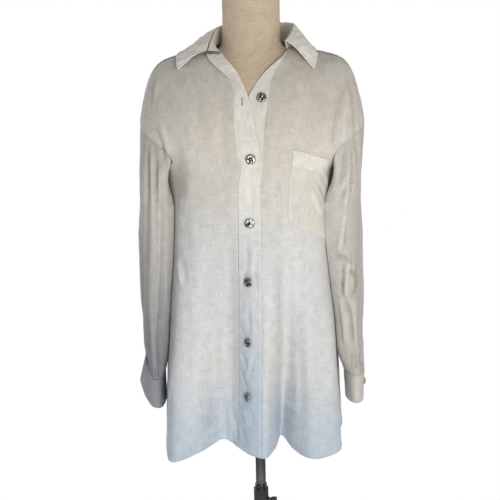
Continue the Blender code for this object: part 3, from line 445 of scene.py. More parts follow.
# ---------------------------------------------------------------- relief of the worn cloth
# Creases, in mm: 'on' names the cloth, 'seen' the side it is drawn from
# (the wearer's front, back, left or right), then its line from top to bottom as across and
# up pairs, how far its middle bows aside, how deep it is (out is positive), how wide, and
# the shares of its length over which it begins and ends, and whether one side (1 or -1) of
# it falls steeply, as where a fold laps over.
CREASES = """
on    seen  x1     z1     x2     z2     bow  depth width from to   steep
body  front -169   1356   -180   1295   0    -1.6  7.0   0.3  0.3  0
body  front -159   1366   -173   1309   0    1.1   8.8   0.3  0.3  0
body  front -130   1267   -136   1114   3    -2.4  21.0  0.4  0.4  0
body  front -138   1047   -132   987    0    1.3   5.2   0.3  0.3  0
body  front -130   1051   -122   987    0    -0.9  7.0   0.3  0.3  0
body  front -144   1119   -160   898    -3   1.1   10.5  0.3  0.3  0
body  front -94    1347   -81    1230   -5   -0.9  15.8  0.4  0.4  0
body  front -61    1327   -71    1210   3    0.7   14.0  0.4  0.4  0
body  front -112   1314   -105   1205   3    0.7   12.2  0.4  0.4  0
body  front 79     1347   71     1247   0    0.7   14.0  0.4  0.4  0
body  front 110    1353   115    1244   3    -1.1  15.8  0.4  0.4  0
body  front 136    1360   129    1280   -3   0.8   12.2  0.4  0.4  0
both  front 164    1346   135    1217   -7   -2.6  7.0   0.2  0.3  0
both  front 169    1336   155    1227   -5   2.0   8.8   0.25 0.3  0
body  front 157    1372   169    1292   3    -2.6  5.2   0.3  0.3  0
body  front 53     1280   49     1230   0    0.5   10.5  0.4  0.4  0
right front -177   1261   -179   1043   2    1.9   7.0   0.25 0.35  0
right front -165   1227   -172   962    2    1.9   7.0   0.25 0.35  0
right front -186   1247   -200   962    0    1.2   5.2   0.25 0.35  0
right front -170   1265   -174   1052   2    -1.9  6.1   0.2  0.35  0
right front -180   1261   -193   962    0    -1.5  5.2   0.2  0.35  0
right front -157   1189   -171   893    0    -2.2  7.0   0.25 0.3  0
both  front -176   1282   -150   1192   5    -2.2  6.1   0.25 0.3  0
both  front -167   1295   -146   1213   5    1.6   7.0   0.3  0.3  0
right front -182   1270   -161   1223   3    -1.3  5.2   0.2  0.4  0
right front -195   962    -195   824    0    -1.9  5.2   0.3  0.15  0
right front -186   947    -186   820    0    1.7   6.1   0.3  0.15  0
right front -172   962    -179   824    0    -1.9  5.2   0.3  0.15  0
right front -204   939    -203   846    0    1.3   5.2   0.3  0.3  0
right front -204   865    -203   816    0    -1.3  3.9   0.4  0.1  0
right front -194   861    -194   814    0    -1.4  3.5   0.4  0.1  0
right front -186   869    -186   814    0    -1.4  3.5   0.4  0.1  0
right front -179   861    -181   813    0    -1.3  3.5   0.4  0.1  0
both  front 167    1356   177    1161   5    -4.0  7.0    0.15 0.3   1
both  front 176    1325   179    1256   0    -1.1  3.1   0.2  0.1  0
both  front 182    1312   185    1256   0    -1.1  3.1   0.2  0.1  0
left  front 171    1254   189    1253   0    -2.0  4.5    0.2  0.2   0
left  front 162    1319   136    1206   -5   -2.4  6.1   0.25 0.25  0
left  front 170    1192   152    1107   3    -3.6  7.5    0.2  0.2   1
left  front 153    1114   153    1054   0    -3.0  6.0    0.2  0.1   -1
left  front 163    1227   145    1048   5    4.6   11.0   0.25 0.03  1
left  front 168    1227   140    1130   8    -2.5  5.2   0.25 0.3  0
left  front 158    1235   137    1154   5    -2.1  5.2   0.25 0.3  0
left  front 165    1234   139    1140   7    2.0   7.0   0.3  0.3  0
left  front 175    1244   166    1140   3    1.8   7.0   0.3  0.3  0
left  front 134    1040   158    1037   0    -5.0  4.5    0.15 0.15  0
left  front 163    1036   160    968    -3   6.4   11.0   0.12 0.03  1
left  front 150    1030   150    976    0    -3.0  5.2   0.3  0.2  0
left  front 177    1030   172    962    0    -4.0  5.2   0.3  0.3  0
left  front 160    1020   181    992    0    -3.0  4.5    0.15 0.15  0
left  front 182    990    163    966    0    -3.0  4.0    0.1  0.1   0
left  front 153    965    165    873    5    -2.6  5.2   0.2  0.3  0
left  front 144    976    156    865    3    2.0   7.0   0.3  0.3  0
left  front 167    983    174    865    0    2.1   7.0   0.3  0.3  0
left  front 177    962    179    865    0    -2.1  5.2   0.3  0.3  0
left  front 166    865    166    826    0    -1.5  3.5   0.4  0.1  0
left  front 173    869    172    824    0    -1.5  3.5   0.4  0.1  0
left  front 180    863    180    824    0    -1.5  3.5   0.4  0.1  0
left  front 186    861    186    824    0    -1.4  3.5   0.4  0.1  0
body  front 76     991    78     719    -3   -1.6  14.0  0.3  0.3  0
body  front 121    976    126    768    3    1.5   17.5  0.3  0.3  0
body  front 59     996    57     740    0    -0.8  12.2  0.3  0.3  0
body  front 24     1075   17     915    3    0.9   10.5  0.35 0.35  0
body  front 43     1058   38     897    0    -0.9  8.8   0.35 0.35  0
body  front -80    802    -85    717    0    -1.6  14.0  0.4  0.15  0
body  front -43    742    -41    700    0    -1.7  5.2   0.3  0.1  0
body  front -55    764    -51    710    0    1.1   8.8   0.4  0.15  0
body  front -119   915    -121   712    3    0.9   15.8  0.4  0.3  0
body  front -88    1058   -97    897    3    -0.7  14.0  0.4  0.4  0
body  front -31    930    -21    901    0    -0.9  4.5   0.3  0.3  0
body  front -31    879    -18    837    2    -1.3  4.5   0.3  0.3  0
body  front -13    872    -23    822    0    1.1   4.5   0.3  0.3  0
body  front -33    839    -20    800    2    -1.2  4.5   0.3  0.3  0
body  front -33    796    -23    766    0    -1.0  3.9   0.3  0.3  0
body  front -6     879    -14    829    0    -1.0  4.2   0.3  0.3  0
body  front -30    772    -18    729    0    1.1   4.5   0.3  0.3  0
body  front -17    776    -9     736    0    -1.0  4.2   0.3  0.3  0
body  front -36    740    -25    697    0    -1.1  4.5   0.3  0.2  0
body  front -7     1193   -6     1117   2    -1.0  5.2   0.3  0.3  0
body  front -16    1186   -14    1128   0    0.7   5.2   0.3  0.3  0
body  front -15    1084   -15    1012   0    -1.1  5.2   0.3  0.3  0
body  front -3     1079   -8     1014   0    0.9   5.2   0.3  0.3  0
body  front -14    980    -14    904    0    -1.1  5.2   0.3  0.3  0
body  front -16    1033   -26    987    0    -0.8  4.4   0.3  0.3  0
body  front -4     1033   2      987    0    -0.8  4.4   0.3  0.3  0
body  front -25    1294   -13    1250   2    -0.9  5.2   0.3  0.3  0
body  front -29    1327   -22    1284   0    0.7   5.2   0.3  0.3  0
body  front 22     1300   16     1260   0    -0.7  5.2   0.3  0.3  0
body  front 99     1183   127    1117   3    -1.0  5.2   0.3  0.3  0
body  front 91     1169   114    1100   3    0.8   6.1   0.3  0.3  0
body  front 111    1196   131    1145   2    0.8   5.2   0.3  0.3  0
body  back  34     1300   52     1050   8    1.8   24    .3   .4  0
body  back  -40    1290   -66    1030   -8   1.8   24    .3   .4  0
body  back  0      1310   4      1120   3    -1.4  20    .3   .4  0
body  back  70     1270   84     1110   -6   -1.6  16    .3   .4  0
body  back  -78    1262   -96    1100   6    -1.6  16    .3   .4  0
body  back  16     1080   22     820    4    1.3   20    .4   .4  0
body  back  -24    1060   -30    790    -4   -1.4  18    .4   .4  0
body  back  62     1060   78     800    -6   -1.4  16    .4   .4  0
body  back  -88    1040   -104   760    6    1.4   18    .4   .4  0
body  back  104    1210   112    1080   4    1.4   12    .3   .4  0
body  back  -108   1205   -118   1060   -4   1.4   12    .3   .4  0
body  back  122    1180   118    1000   -3   -1.6  9     .3   .4  0
body  back  -126   1170   -122   1010   3    -1.6  9     .3   .4  0
body  back  40     840    46     700    3    1.0   14    .4   .2  0
body  back  -58    850    -64    705    -3   1.0   14    .4   .2  0
body  back  6      1350   30     1280   2    -0.7  10    .3   .3  0
body  back  -16    1345   -44    1275   -2   -0.7  10    .3   .3  0
left  left  -40    1140   -34    900    6    2.0   12    .3   .3  0
left  left  8      1150   4      880    -5   2.2   13    .3   .3  0
left  left  44     1120   30     930    -4   1.8   11    .3   .3  0
left  left  -14    1165   -12    960    3    -2.2  10    .25  .3  0
left  left  28     1145   18     900    -4   -2.0  9     .25  .3  0
left  left  -60    1110   -46    930    5    -1.8  9     .3   .3  0
left  left  -30    905    -22    825    2    -1.7  6     .3   .15  0
left  left  -4     900    -6     825    0    1.6   7     .3   .15  0
left  left  14     890    10     825    0    -1.6  6     .3   .15  0
left  left  -44    880    -38    825    0    1.4   6     .3   .15  0
left  back  168    1120   172    940    3    1.8   9     .3   .3  0
left  back  182    1110   184    900    -3   -1.8  8     .3   .3  0
left  back  158    1080   166    900    3    -1.6  7     .3   .3  0
right right -40    1140   -34    900    6    2.0   12    .3   .3  0
right right 10     1150   6      880    -5   2.2   13    .3   .3  0
right right 46     1120   32     930    -4   1.8   11    .3   .3  0
right right -12    1165   -12    960    3    -2.2  10    .25  .3  0
right right 30     1145   20     900    -4   -2.0  9     .25  .3  0
right right -62    1110   -48    930    5    -1.8  9     .3   .3  0
right right -24    905    -18    825    2    -1.7  6     .3   .15  0
right right 0      900    -2     825    0    1.6   7     .3   .15  0
right right 18     890    14     825    0    -1.6  6     .3   .15  0
right back  -174   1120   -180   940    -3   1.8   9     .3   .3  0
right back  -190   1110   -196   900    3    -1.8  8     .3   .3  0
right back  -166   1080   -174   900    -3   -1.6  7     .3   .3  0
body  left  -30    1330   -10    1240   4    1.0   12    .3   .3  0
body  left  34     1330   30     1230   -3   1.0   12    .3   .3  0
body  left  4      1345   6      1260   2    -1.0  10    .3   .3  0
body  right -26    1330   -8     1240   4    1.0   12    .3   .3  0
body  right 36     1330   30     1230   -3   1.0   12    .3   .3  0
body  right 6      1345   8      1260   2    -1.0  10    .3   .3  0
"""


CREASE_STRENGTH = 1.8
SLEEVE_CREASE_STRENGTH = 2.0


def noise(points, size, seed):
    """Smooth noise between -1 and 1, with bumps of a given size along x, y and z (mm)."""
    lattice = np.random.default_rng(seed).uniform(-1, 1, (24, 24, 24))
    places = points / (np.array(size) * MM) + 100
    cell = np.floor(places).astype(int)
    u = places - cell
    u = u * u * (3 - 2 * u)
    total = 0
    for corner in np.ndindex(2, 2, 2):
        weight = np.prod(np.where(corner, u, 1 - u), -1)
        at = (cell + corner) % 24
        total = total + weight * lattice[at[..., 0], at[..., 1], at[..., 2]]
    return total


def crease_relief(points, out, on):
    """How far the creases on one cloth lift its points, in metres."""
    axes = {"front": (0, 1, -1), "back": (0, 1, 1), "left": (1, 0, 1), "right": (1, 0, -1)}
    lift = np.zeros(points.shape[:-1])
    rows = [line.split() for line in CREASES.strip().splitlines()[1:]]
    for cloth, seen, *numbers in rows:
        if cloth not in (on, "both"):
            continue
        x1, z1, x2, z2, bow, depth, width, begins, ends, steep = (float(n) for n in numbers)
        across, normal_axis, facing = axes[seen]
        place = np.stack([points[..., across], points[..., 2]], -1) / MM
        start, end = np.array([x1, z1]), np.array([x2, z2])
        line = end - start
        length = np.linalg.norm(line)
        line = line / length
        side = np.array([-line[1], line[0]])
        along = (place - start) @ line / length
        bend = bow * 4 * along * (1 - along)
        aside = (place - start) @ side - bend
        fade = smooth(along / begins) * smooth((1 - along) / ends)
        taper = width * (0.55 + 0.45 * fade)
        taper = np.where(aside * steep > 0, 0.3 * taper, taper)
        shape = smooth(1 - np.abs(aside) / taper)
        turned = smooth(out[..., normal_axis] * facing * 2.2)
        lift += depth * shape * fade * turned
    return lift * MM


def fine_relief(points, strength=1.0):
    """The small folds that the whole cloth has: long soft ones and a light crumple."""
    soft = 1.0 * noise(points, (34, 34, 190), 3) + 0.5 * noise(points, (15, 15, 90), 4)
    crumple = noise(points, (17, 17, 23), 5)
    ridge = 0.45 * (1 - np.abs(crumple)) ** 3
    small = 0.16 * noise(points, (7, 7, 10), 6)
    return strength * (soft + ridge + small) * MM


def crumpled(points, strength, outward=1):
    """The grid with the small crumple of a washed, unironed edge."""
    small = 0.9 * noise(points, (11, 11, 13), 31) + 0.7 * noise(points, (5.5, 5.5, 6.5), 32)
    return points + outward * normals_of(points) * (strength * small * MM)[..., None]


def normals_of(points, closed=False):
    """Unit normals of a grid, by its rows and columns."""
    down = np.gradient(points, axis=0)
    if closed:
        across = (np.roll(points, -1, 1) - np.roll(points, 1, 1)) / 2
    else:
        across = np.gradient(points, axis=1)
    out = np.cross(down, across)
    return out / np.maximum(np.linalg.norm(out, axis=-1, keepdims=True), 1e-12)


def worn(angle, station, lift=0.0, extra=0.0):
    """Points of the shirt as it is worn, with all its relief, moved out by lift."""
    angle, station, lift = np.broadcast_arrays(
        np.asarray(angle, float), np.asarray(station, float), np.asarray(lift, float)
    )
    base = cloth_point(angle, station)
    out = (cloth_point(angle, station, MM) - base) / MM
    relief = fine_relief(base) + CREASE_STRENGTH * crease_relief(base, out, "body")
    return base + out * (lift + relief + extra)[..., None]


# ---------------------------------------------------------------- meshes
def arc_lengths(points):
    """How far each point of a grid is across and down it, in metres, from its middle row."""
    across = np.linalg.norm(np.diff(points, axis=1), axis=-1).cumsum(1)
    across = np.concatenate([np.zeros((len(points), 1)), across], 1)
    down = np.linalg.norm(np.diff(points, axis=0), axis=-1).mean(1).cumsum()
    down = np.concatenate([[0], down])
    return across, np.repeat(down[:, None], points.shape[1], 1)


def thread_places(points, centre_angle):
    """The same for a hanging panel whose threads run level and plumb, from its centre line."""
    stations = np.linspace(0, HEM, 200)
    line = smooth_ring(np.full(200, centre_angle), stations)[::-1] * MM
    length = np.concatenate([[0], np.hypot(np.diff(line[:, 1]), np.diff(line[:, 2])).cumsum()])
    x, y, z = np.moveaxis(points, -1, 0)
    depth = y - np.interp(z, line[:, 2], line[:, 1])
    share = x / np.hypot(x, 40 * MM)
    u = x + share * (np.hypot(x, depth) - np.abs(x))
    above = np.maximum(z - line[-1, 2], 0)
    return u, -np.interp(z, line[:, 2], length) - 1.3 * above


def add_grid(name, points, tint, closed=False, flip=False, thickness=CLOTH, threads=None):
    """A sheet of cloth through a grid of points: its uv is in metres, its colour in 'tint'."""
    rows, columns = points.shape[:2]
    around = columns if closed else columns - 1
    i, j = np.mgrid[0 : rows - 1, 0:around]
    k = (j + 1) % columns
    quads = np.stack([i * columns + j, (i + 1) * columns + j, (i + 1) * columns + k, i * columns + k], -1)
    ring = np.concatenate([points, points[:, :1]], 1) if closed else points
    u, v = threads or arc_lengths(ring)
    corners = [(i, j), (i + 1, j), (i + 1, j + 1), (i, j + 1)]
    uv = np.stack([np.stack([u[c], v[c]], -1) for c in corners], 2)
    if flip:
        quads = quads[..., ::-1]
        uv = uv[:, :, ::-1]
    mesh = bpy.data.meshes.new(name)
    mesh.from_pydata(points.reshape(-1, 3).tolist(), [], quads.reshape(-1, 4).tolist())
    layer = mesh.uv_layers.new(name="UVMap")
    layer.data.foreach_set("uv", uv.reshape(-1).astype(np.float32))
    colours = np.ones((rows * columns, 4), np.float32)
    colours[:, :3] = np.broadcast_to(tint, (rows, columns, 3)).reshape(-1, 3)
    attribute = mesh.attributes.new("tint", "FLOAT_COLOR", "POINT")
    attribute.data.foreach_set("color", colours.reshape(-1))
    mesh.shade_smooth()
    obj = bpy.data.objects.new(name, mesh)
    bpy.context.scene.collection.objects.link(obj)
    if thickness:
        wall = obj.modifiers.new("Wall", "SOLIDIFY")
        wall.thickness = thickness
        wall.offset = 0
        wall.use_rim = True
    return obj


def tucked(points, sides, distance=1.4 * MM, drop=0.45 * MM, outward=1):
    """The grid with sewn edges carried a little past the seam, under (or over) its neighbour."""
    out = normals_of(points) * outward
    points = points.copy()
    edges = {
        "top": (points[0], points[1], out[0]),
        "bottom": (points[-1], points[-2], out[-1]),
        "first": (points[:, 0], points[:, 1], out[:, 0]),
        "last": (points[:, -1], points[:, -2], out[:, -1]),
    }
    for side in sides:
        edge, inner, normal = edges[side]
        step = edge - inner
        length = np.linalg.norm(step, axis=-1, keepdims=True)
        edge += step / np.maximum(length, 1e-9) * distance - normal * drop
    return points


def search_tree(grids):
    points = []
    faces = []
    for grid, closed in grids:
        rows, columns = grid.shape[:2]
        around = columns if closed else columns - 1
        i, j = np.mgrid[0 : rows - 1, 0:around]
        k = (j + 1) % columns
        quads = np.stack([i * columns + j, (i + 1) * columns + j, (i + 1) * columns + k, i * columns + k], -1)
        faces += (quads.reshape(-1, 4) + len(points)).tolist()
        points += grid.reshape(-1, 3).tolist()
    return BVHTree.FromPolygons(points, faces)


def keep_clear(grid, cloth, clearance, side=1, farthest=16 * MM, held=0):
    """Moves a fine grid's points until they lie clear of the cloth, outside it or (-1) inside.

    The clearance may be one distance or one for each row.
    """
    grid = grid.copy()
    rows, columns = grid.shape[:2]
    clearances = np.broadcast_to(clearance, rows)
    for _ in range(2):
        for i in range(held, rows - held):
            clearance = clearances[i]
            for j in range(columns):
                point = Vector(grid[i, j])
                place, normal, _, _ = cloth.find_nearest(point)
                above = side * (point - place).dot(normal)
                aside = (point - place - side * above * normal).length
                if above > clearance or aside > 2 * MM or above < -farthest:
                    continue
                grid[i, j] += np.array(normal) * side * (clearance - above)
    return grid


def edge_distance(points, side):
    """How far each point of a grid lies from one of its edges, along the cloth."""
    turned = {"top": points, "bottom": points[::-1], "first": points, "last": points[:, ::-1]}[side]
    axis = 0 if side in ("top", "bottom") else 1
    steps = np.linalg.norm(np.diff(turned, axis=axis), axis=-1).cumsum(axis)
    zero = np.zeros_like(np.take(steps, [0], axis))
    away = np.concatenate([zero, steps], axis)
    return away[::-1] if side == "bottom" else away[:, ::-1] if side == "last" else away


def raised(points, sides, width, height, outward=1):
    """The grid with a doubled strip along some edges, standing a little proud."""
    out = normals_of(points) * outward
    lift = np.zeros(points.shape[:2])
    for side in sides:
        away = edge_distance(points, side)
        here = height * smooth((width - away) / (0.35 * width) + 0.5)
        lift = np.where(np.abs(here) > np.abs(lift), here, lift)
    return points + out * lift[..., None]


# ---------------------------------------------------------------- the shirt's panels
def rows_of(shoulder, arm, lower):
    """The rows of a front: down the yoke's seam, the armhole and the side seam."""
    return np.concatenate(
        [
            np.linspace(0, 9, shoulder, endpoint=False),
            np.linspace(9, 19, arm, endpoint=False),
            np.linspace(19, 29, lower),
        ]
    )


FRONT_ROWS = rows_of(62, 56, 142)
shoulder_stations = np.append(SHOULDER_ROWS, ARMHOLE_TOP)
lower_stations = np.concatenate([[ARMHOLE_BOTTOM], LOWER_ROWS])


def band_station(row):
    return np.interp(row, np.arange(30), BAND_ROWS)


def outer_edge(row):
    station = np.interp(row, np.arange(10), shoulder_stations)
    arm_angle, arm_station = armhole(np.clip(18 * (row - 9), 0, 180))
    lower = np.interp(row - 19, np.arange(11), lower_stations)
    angle = np.where(row < 9, yoke_front(station), np.where(row < 19, arm_angle, 90.0))
    return angle, np.where(row < 9, station, np.where(row < 19, arm_station, lower))


def front_places(inner, columns):
    """Angles and stations of a front, from its band's seam out to its outer edge."""
    share = np.linspace(0, 1, columns)
    station = band_station(FRONT_ROWS)
    outer, outer_station = (column[:, None] for column in outer_edge(FRONT_ROWS))
    inner, station = inner(station)[:, None], station[:, None]
    return inner + (outer - inner) * share, station + (outer_station - station) * share**ROW_BEND


def front_left_grid():
    angle, station = front_places(edge_at["left_seam"], 100)
    grid = raised(worn(angle, station), ["bottom"], HEM_WIDTH, DOUBLED)
    grid = raised(grid, ["last"], 2.5 * MM, -0.7 * MM)
    return tucked(grid, ["first", "last"])


def front_right_grid():
    angle, station = front_places(lambda rows: -edge_at["right_seam"](rows), 92)
    lift = LAYER * smooth(1 - np.linspace(0, 7.4, 92))
    grid = worn(-angle[:, ::-1], station[:, ::-1], lift[::-1])
    grid = raised(grid, ["bottom"], HEM_WIDTH, DOUBLED)
    return tucked(raised(grid, ["first"], 2.5 * MM, -0.7 * MM), ["first", "last"])


def band_places(first, last, columns):
    station = band_station(FRONT_ROWS)
    start, end = edge_at[first](station)[:, None], edge_at[last](station)[:, None]
    return start + (end - start) * np.linspace(0, 1, columns), station[:, None]


def band_left_grid():
    return worn(*band_places("left_edge", "left_seam", 14))


def band_right_grid():
    angle, station = band_places("right_seam", "fold", 16)
    across = np.linspace(0, 1, 16)
    laid = smooth((station - 5.5) / 2)
    open_neck = 1.2 * MM * smooth((6.6 - station) / 1.5) * smooth(across / 0.6)
    seam = 0.22 * MM * smooth(1 - across / 0.25)
    lift = LAYER + open_neck - seam - 0.55 * MM * laid * smooth((across - 0.6) / 0.4)
    return worn(angle, station, lift)


def turned_band_grid():
    table = read_table(TURNED_BAND)
    rows = np.linspace(0, len(table["fold"]) - 1, 90)
    at = {name: curve(np.arange(len(column)), column)(rows)[:, None] for name, column in table.items()}
    across = np.linspace(0, 1, 18)
    angle = at["edge"] + (at["fold"] - at["edge"]) * across
    station = at["edge_station"] + (at["fold_station"] - at["edge_station"]) * across
    return crumpled(worn(angle[::-1], station[::-1], 2 * LAYER + 1.6 * MM), 1.2)


def yoke_grid():
    """From the neckline out to the front seams, the armholes' tops and the back seam."""
    column = np.concatenate([np.linspace(0, 3, 24), np.linspace(3, 15, 62)[1:]])
    armhole_angle, armhole_station = armhole(np.linspace(360, YOKE_TURN, 24))
    seam_angle, seam_station = yoke_seam(np.linspace(-1, 0, 62))
    end = np.concatenate([armhole_angle, seam_angle[1:]])
    end_station = np.concatenate([armhole_station, seam_station[1:]])
    start = yoke_front(0.0) + (180 - yoke_front(0.0)) * column / 15
    rows = np.linspace(0, 1, 62)[:, None]
    station = rows * end_station
    angle = start + (end - start) * rows
    angle += (yoke_front(station[:, :1]) - angle[:, :1]) * np.clip(1 - column, 0, 1)
    angle = np.concatenate([angle, 360 - angle[:, -2::-1]], 1)
    station = np.concatenate([station, station[:, -2::-1]], 1)
    grid = raised(worn(angle, station), ["bottom", "first", "last"], SEAM_WIDTH, 1.8 * DOUBLED)
    return tucked(grid, ["bottom", "first", "last"], drop=0.2 * MM)


def back_grid():
    """From the yoke's seam to the hem, between the armholes and then the side seams."""
    row = np.concatenate([np.linspace(0, 7, 56, endpoint=False), np.linspace(7, 17, 142)])
    side_angle, side_station = armhole(np.clip(YOKE_TURN - 18 * row, 180, YOKE_TURN))
    lower = np.interp(row - 7, np.arange(11), lower_stations)
    outer_angle = np.where(row < 7, side_angle, 90.0)[:, None]
    outer_station = np.where(row < 7, side_station, lower)[:, None]
    across = np.linspace(-1, 1, 190)
    share = (row / 17)[:, None]
    middle = YOKE_MID_STATION + (HEM - YOKE_MID_STATION) * share**0.97
    angle = 180 + across * (180 - outer_angle)
    station = middle + (outer_station - middle) * np.abs(across) ** YOKE_SEAM_BEND
    grid = raised(worn(angle, station), ["bottom"], HEM_WIDTH, DOUBLED)
    grid = raised(grid, ["top", "first", "last"], 2.5 * MM, -0.7 * MM)
    return tucked(grid, ["top", "first", "last"])


# ---------------------------------------------------------------- sleeves and cuffs
AROUND = 132
turns = np.arange(AROUND) * 360 / AROUND
CUFF_END = 342  # where round the sleeve the open cuff's back end is


def open_cuff_edge(name):
    """The open cuff's top or bottom edge, by the sleeve's turns."""
    table = read_table(OPEN_CUFF)
    at = {key: loop_curve(table["turn"] - 180, column) for key, column in table.items()}
    end = np.where(turns < 180, np.exp(-((turns / 45) ** 2)), smooth((turns - CUFF_END) / 18))
    end *= 13.5 if name == "top" else 1
    return np.stack([at["x"](turns - 180) + end, at["y"](turns - 180), at[name](turns - 180)], -1) * MM


def closed_cuff_edge(z, half_x, half_y):
    sleeve = read_table(SLEEVE_SECTIONS)
    turn = np.radians(turns)
    x = sleeve["left_x"][-1] + half_x * np.cos(turn)
    y = sleeve["y"][-1] - half_y * np.sin(turn)
    return np.stack([x, y, z + 0 * turn], -1) * MM


def squarish(part):
    return np.sign(part) * np.abs(part) ** 0.82


DESPIKED_ROWS = 56  # of a sleeve, where it lies against the body below the armhole


def median_of(points):
    """The median of each point of a closed grid and its neighbours, but for the end rows."""
    near = [np.roll(points, (i, j), (0, 1)) for i in (-1, 0, 1) for j in (-1, 0, 1)]
    result = np.median(near, 0)
    result[:2], result[-2:] = points[:2], points[-2:]
    return result


def without_spikes(points, most=1.7 * MM):
    for _ in range(2):
        middle = median_of(points)
        odd = np.linalg.norm(points - middle, axis=-1) > most
        odd[DESPIKED_ROWS:] = False
        points = np.where(odd[..., None], middle, points)
    return points


def evened(moves, passes=4):
    """A closed grid's moves without odd ones out, smoothed."""
    result = median_of(moves)
    for _ in range(passes):
        result = (np.roll(result, 1, 1) + 2 * result + np.roll(result, -1, 1)) / 4
        result[1:-1] = (result[:-2] + 2 * result[1:-1] + result[2:]) / 4
    return result


def sleeve_rings(side, end_ring, cloth):
    """A sleeve's rings from its armhole to its cuff; side is 1 for the wearer's left."""
    table = read_table(SLEEVE_SECTIONS)
    turn = np.radians(turns)
    angle, station = armhole(turns)
    lapped = LAYER * smooth((0.45 - np.cos(turn)) / 0.6)
    loop = worn(side * angle, station, lapped)
    down = np.concatenate([np.linspace(0, 1, 34, endpoint=False), np.linspace(1, 7, 110)])
    at = {name: curve(table["down"], column)(down)[:, None] for name, column in table.items()}
    wave = at["fold"] * (0.5 * np.cos(3 * turn + 0.9) + 0.5 * np.cos(5 * turn - 0.4))
    middle_x = at["left_x"] if side > 0 else at["right_x"]
    inner = (7.5 if side > 0 else 3) * smooth(-np.cos(turn)) * smooth((down - 0.3) / 0.8)[:, None]
    lapping = (24 if side > 0 else 12) * smooth(1 - np.abs(turns - 115) / 80)
    inner = inner + lapping * (smooth(down / 0.7) * smooth((4.5 - down) / 3))[:, None]
    outer = curve(np.arange(8.0), np.array([0, 3, 6, 7, 7, 8, 8, 4.0]))(down)[:, None]
    inner = inner + outer * smooth(np.cos(turn) * 1.4)
    x = middle_x + side * (at["half_x"] + wave) * squarish(np.cos(turn)) - side * inner
    y = at["y"] - (at["half_y"] + wave) * squarish(np.sin(turn))
    slant = (loop[:, 2] - loop[:, 2].mean()) / MM * (1 - smooth(down / 3))[:, None]
    hung = np.stack([x, y, at["z"] + slant], -1) * MM
    share = smooth(down)[:, None, None]
    rings = loop * (1 - share) + hung * share
    ending = smooth((down - 5) / 2)[:, None, None]
    rings = rings * (1 - ending) + end_ring * ending
    out = normals_of(rings, closed=True) * -side
    held = smooth(down / 0.5) * (1 - 0.85 * smooth((down - 6.6) / 0.4))
    on = "left" if side > 0 else "right"
    relief = fine_relief(rings, 1.1) + SLEEVE_CREASE_STRENGTH * crease_relief(rings, out, on)
    relief = relief + 1.3 * MM * noise(rings, (10, 24, 150), 21)
    rings = rings + out * (relief * held[:, None])[..., None]
    clearance = SLEEVE_CLEARANCE * smooth(down / 0.35)
    pushed = keep_clear(rings, cloth, clearance, held=1, farthest=60 * MM) - rings
    rings = rings + evened(pushed)
    pushed = keep_clear(rings, cloth, clearance, held=1, farthest=12 * MM) - rings
    rings = without_spikes(rings + evened(pushed, 1))
    return tucked(rings, ["top"], 1.4 * MM, 0.3 * MM, -side)


def between(first, last, count):
    part = np.linspace(0, 1, count)[:, None, None]
    return first[None] + (last - first)[None] * part


def cuff_grids():
    top = closed_cuff_edge(CUFF_TOP + 0.8, 18, 51.6)
    left = between(top, closed_cuff_edge(CLOSED_CUFF_BOTTOM, 16, 48), 20)
    top = open_cuff_edge("top")
    top += (top - top.mean(0)) * [0.02, 0.01, 0]
    top[:, 2] += 0.8 * MM
    right = between(top, open_cuff_edge("bottom"), 20)[:, turns <= CUFF_END]
    grids = []
    for grid in (left, right):
        soft = 0.9 * noise(grid, (24, 24, 40), 12) + 0.7 * noise(grid, (10, 10, 12), 13)
        out = normals_of(grid)
        grids.append(grid + out * (soft * MM * np.linspace(0, 1, 20)[:, None])[..., None])
    return grids


# ---------------------------------------------------------------- collar and pocket
def collar_grids():
    table = read_table(COLLAR_SECTIONS)
    rows = np.linspace(0, len(table["foot"]) - 1, 280)
    at = {name: curve(np.arange(len(column)), column)(rows) for name, column in table.items()}
    over_band = smooth((at["foot"] - 276) / 22)
    foot = worn(at["foot"], 0, 4.4 * MM * over_band)
    foot[:, 2] += (2.8 - 4 * over_band) * MM
    roll = np.stack([at["roll_x"], at["roll_y"], at["roll_z"]], -1) * MM
    lift = at["edge_lift"] - 6 * smooth((at["edge_lift"] - 4) / 4)
    edge = worn(at["edge"], at["edge_station"], lift * MM)
    stand = between(roll, foot, 12)
    outward = roll * [1, 1, 0] - [2 * MM, 0, 0]
    outward /= np.linalg.norm(outward, axis=-1, keepdims=True)
    up = np.array([0, 0, 1.0])
    from_end = np.minimum(rows, rows[-1] - rows)[:, None]
    apart = (1.5 + 0.9 * smooth(from_end / 0.5)) * MM
    fall = between(roll + outward * apart + up * 0.6 * MM, edge, 40)
    share = np.linspace(0, 1, 40)
    bulge = curve(np.arange(6) / 5, np.array([0, 0.75, 1, 0.8, 0.4, 0]))(share)[:, None, None]
    fall += (outward * 3.2 * MM + up * 2.4 * MM)[None] * bulge
    out = -normals_of(fall)
    crumple = 1.1 * noise(fall, (26, 26, 30), 8)
    away = np.minimum(edge_distance(fall, "bottom"), edge_distance(fall, "first"))
    away = np.minimum(away, edge_distance(fall, "last"))
    rim = 0.5 * smooth((5.5 * MM - away) / (1.5 * MM))
    fall += out * ((crumple * smooth(share * 4)[:, None] + rim) * MM)[..., None]
    return stand, crumpled(fall, 1.5)


POCKET_HEM = 28 * MM  # depth of the hem folded over at the pocket's mouth


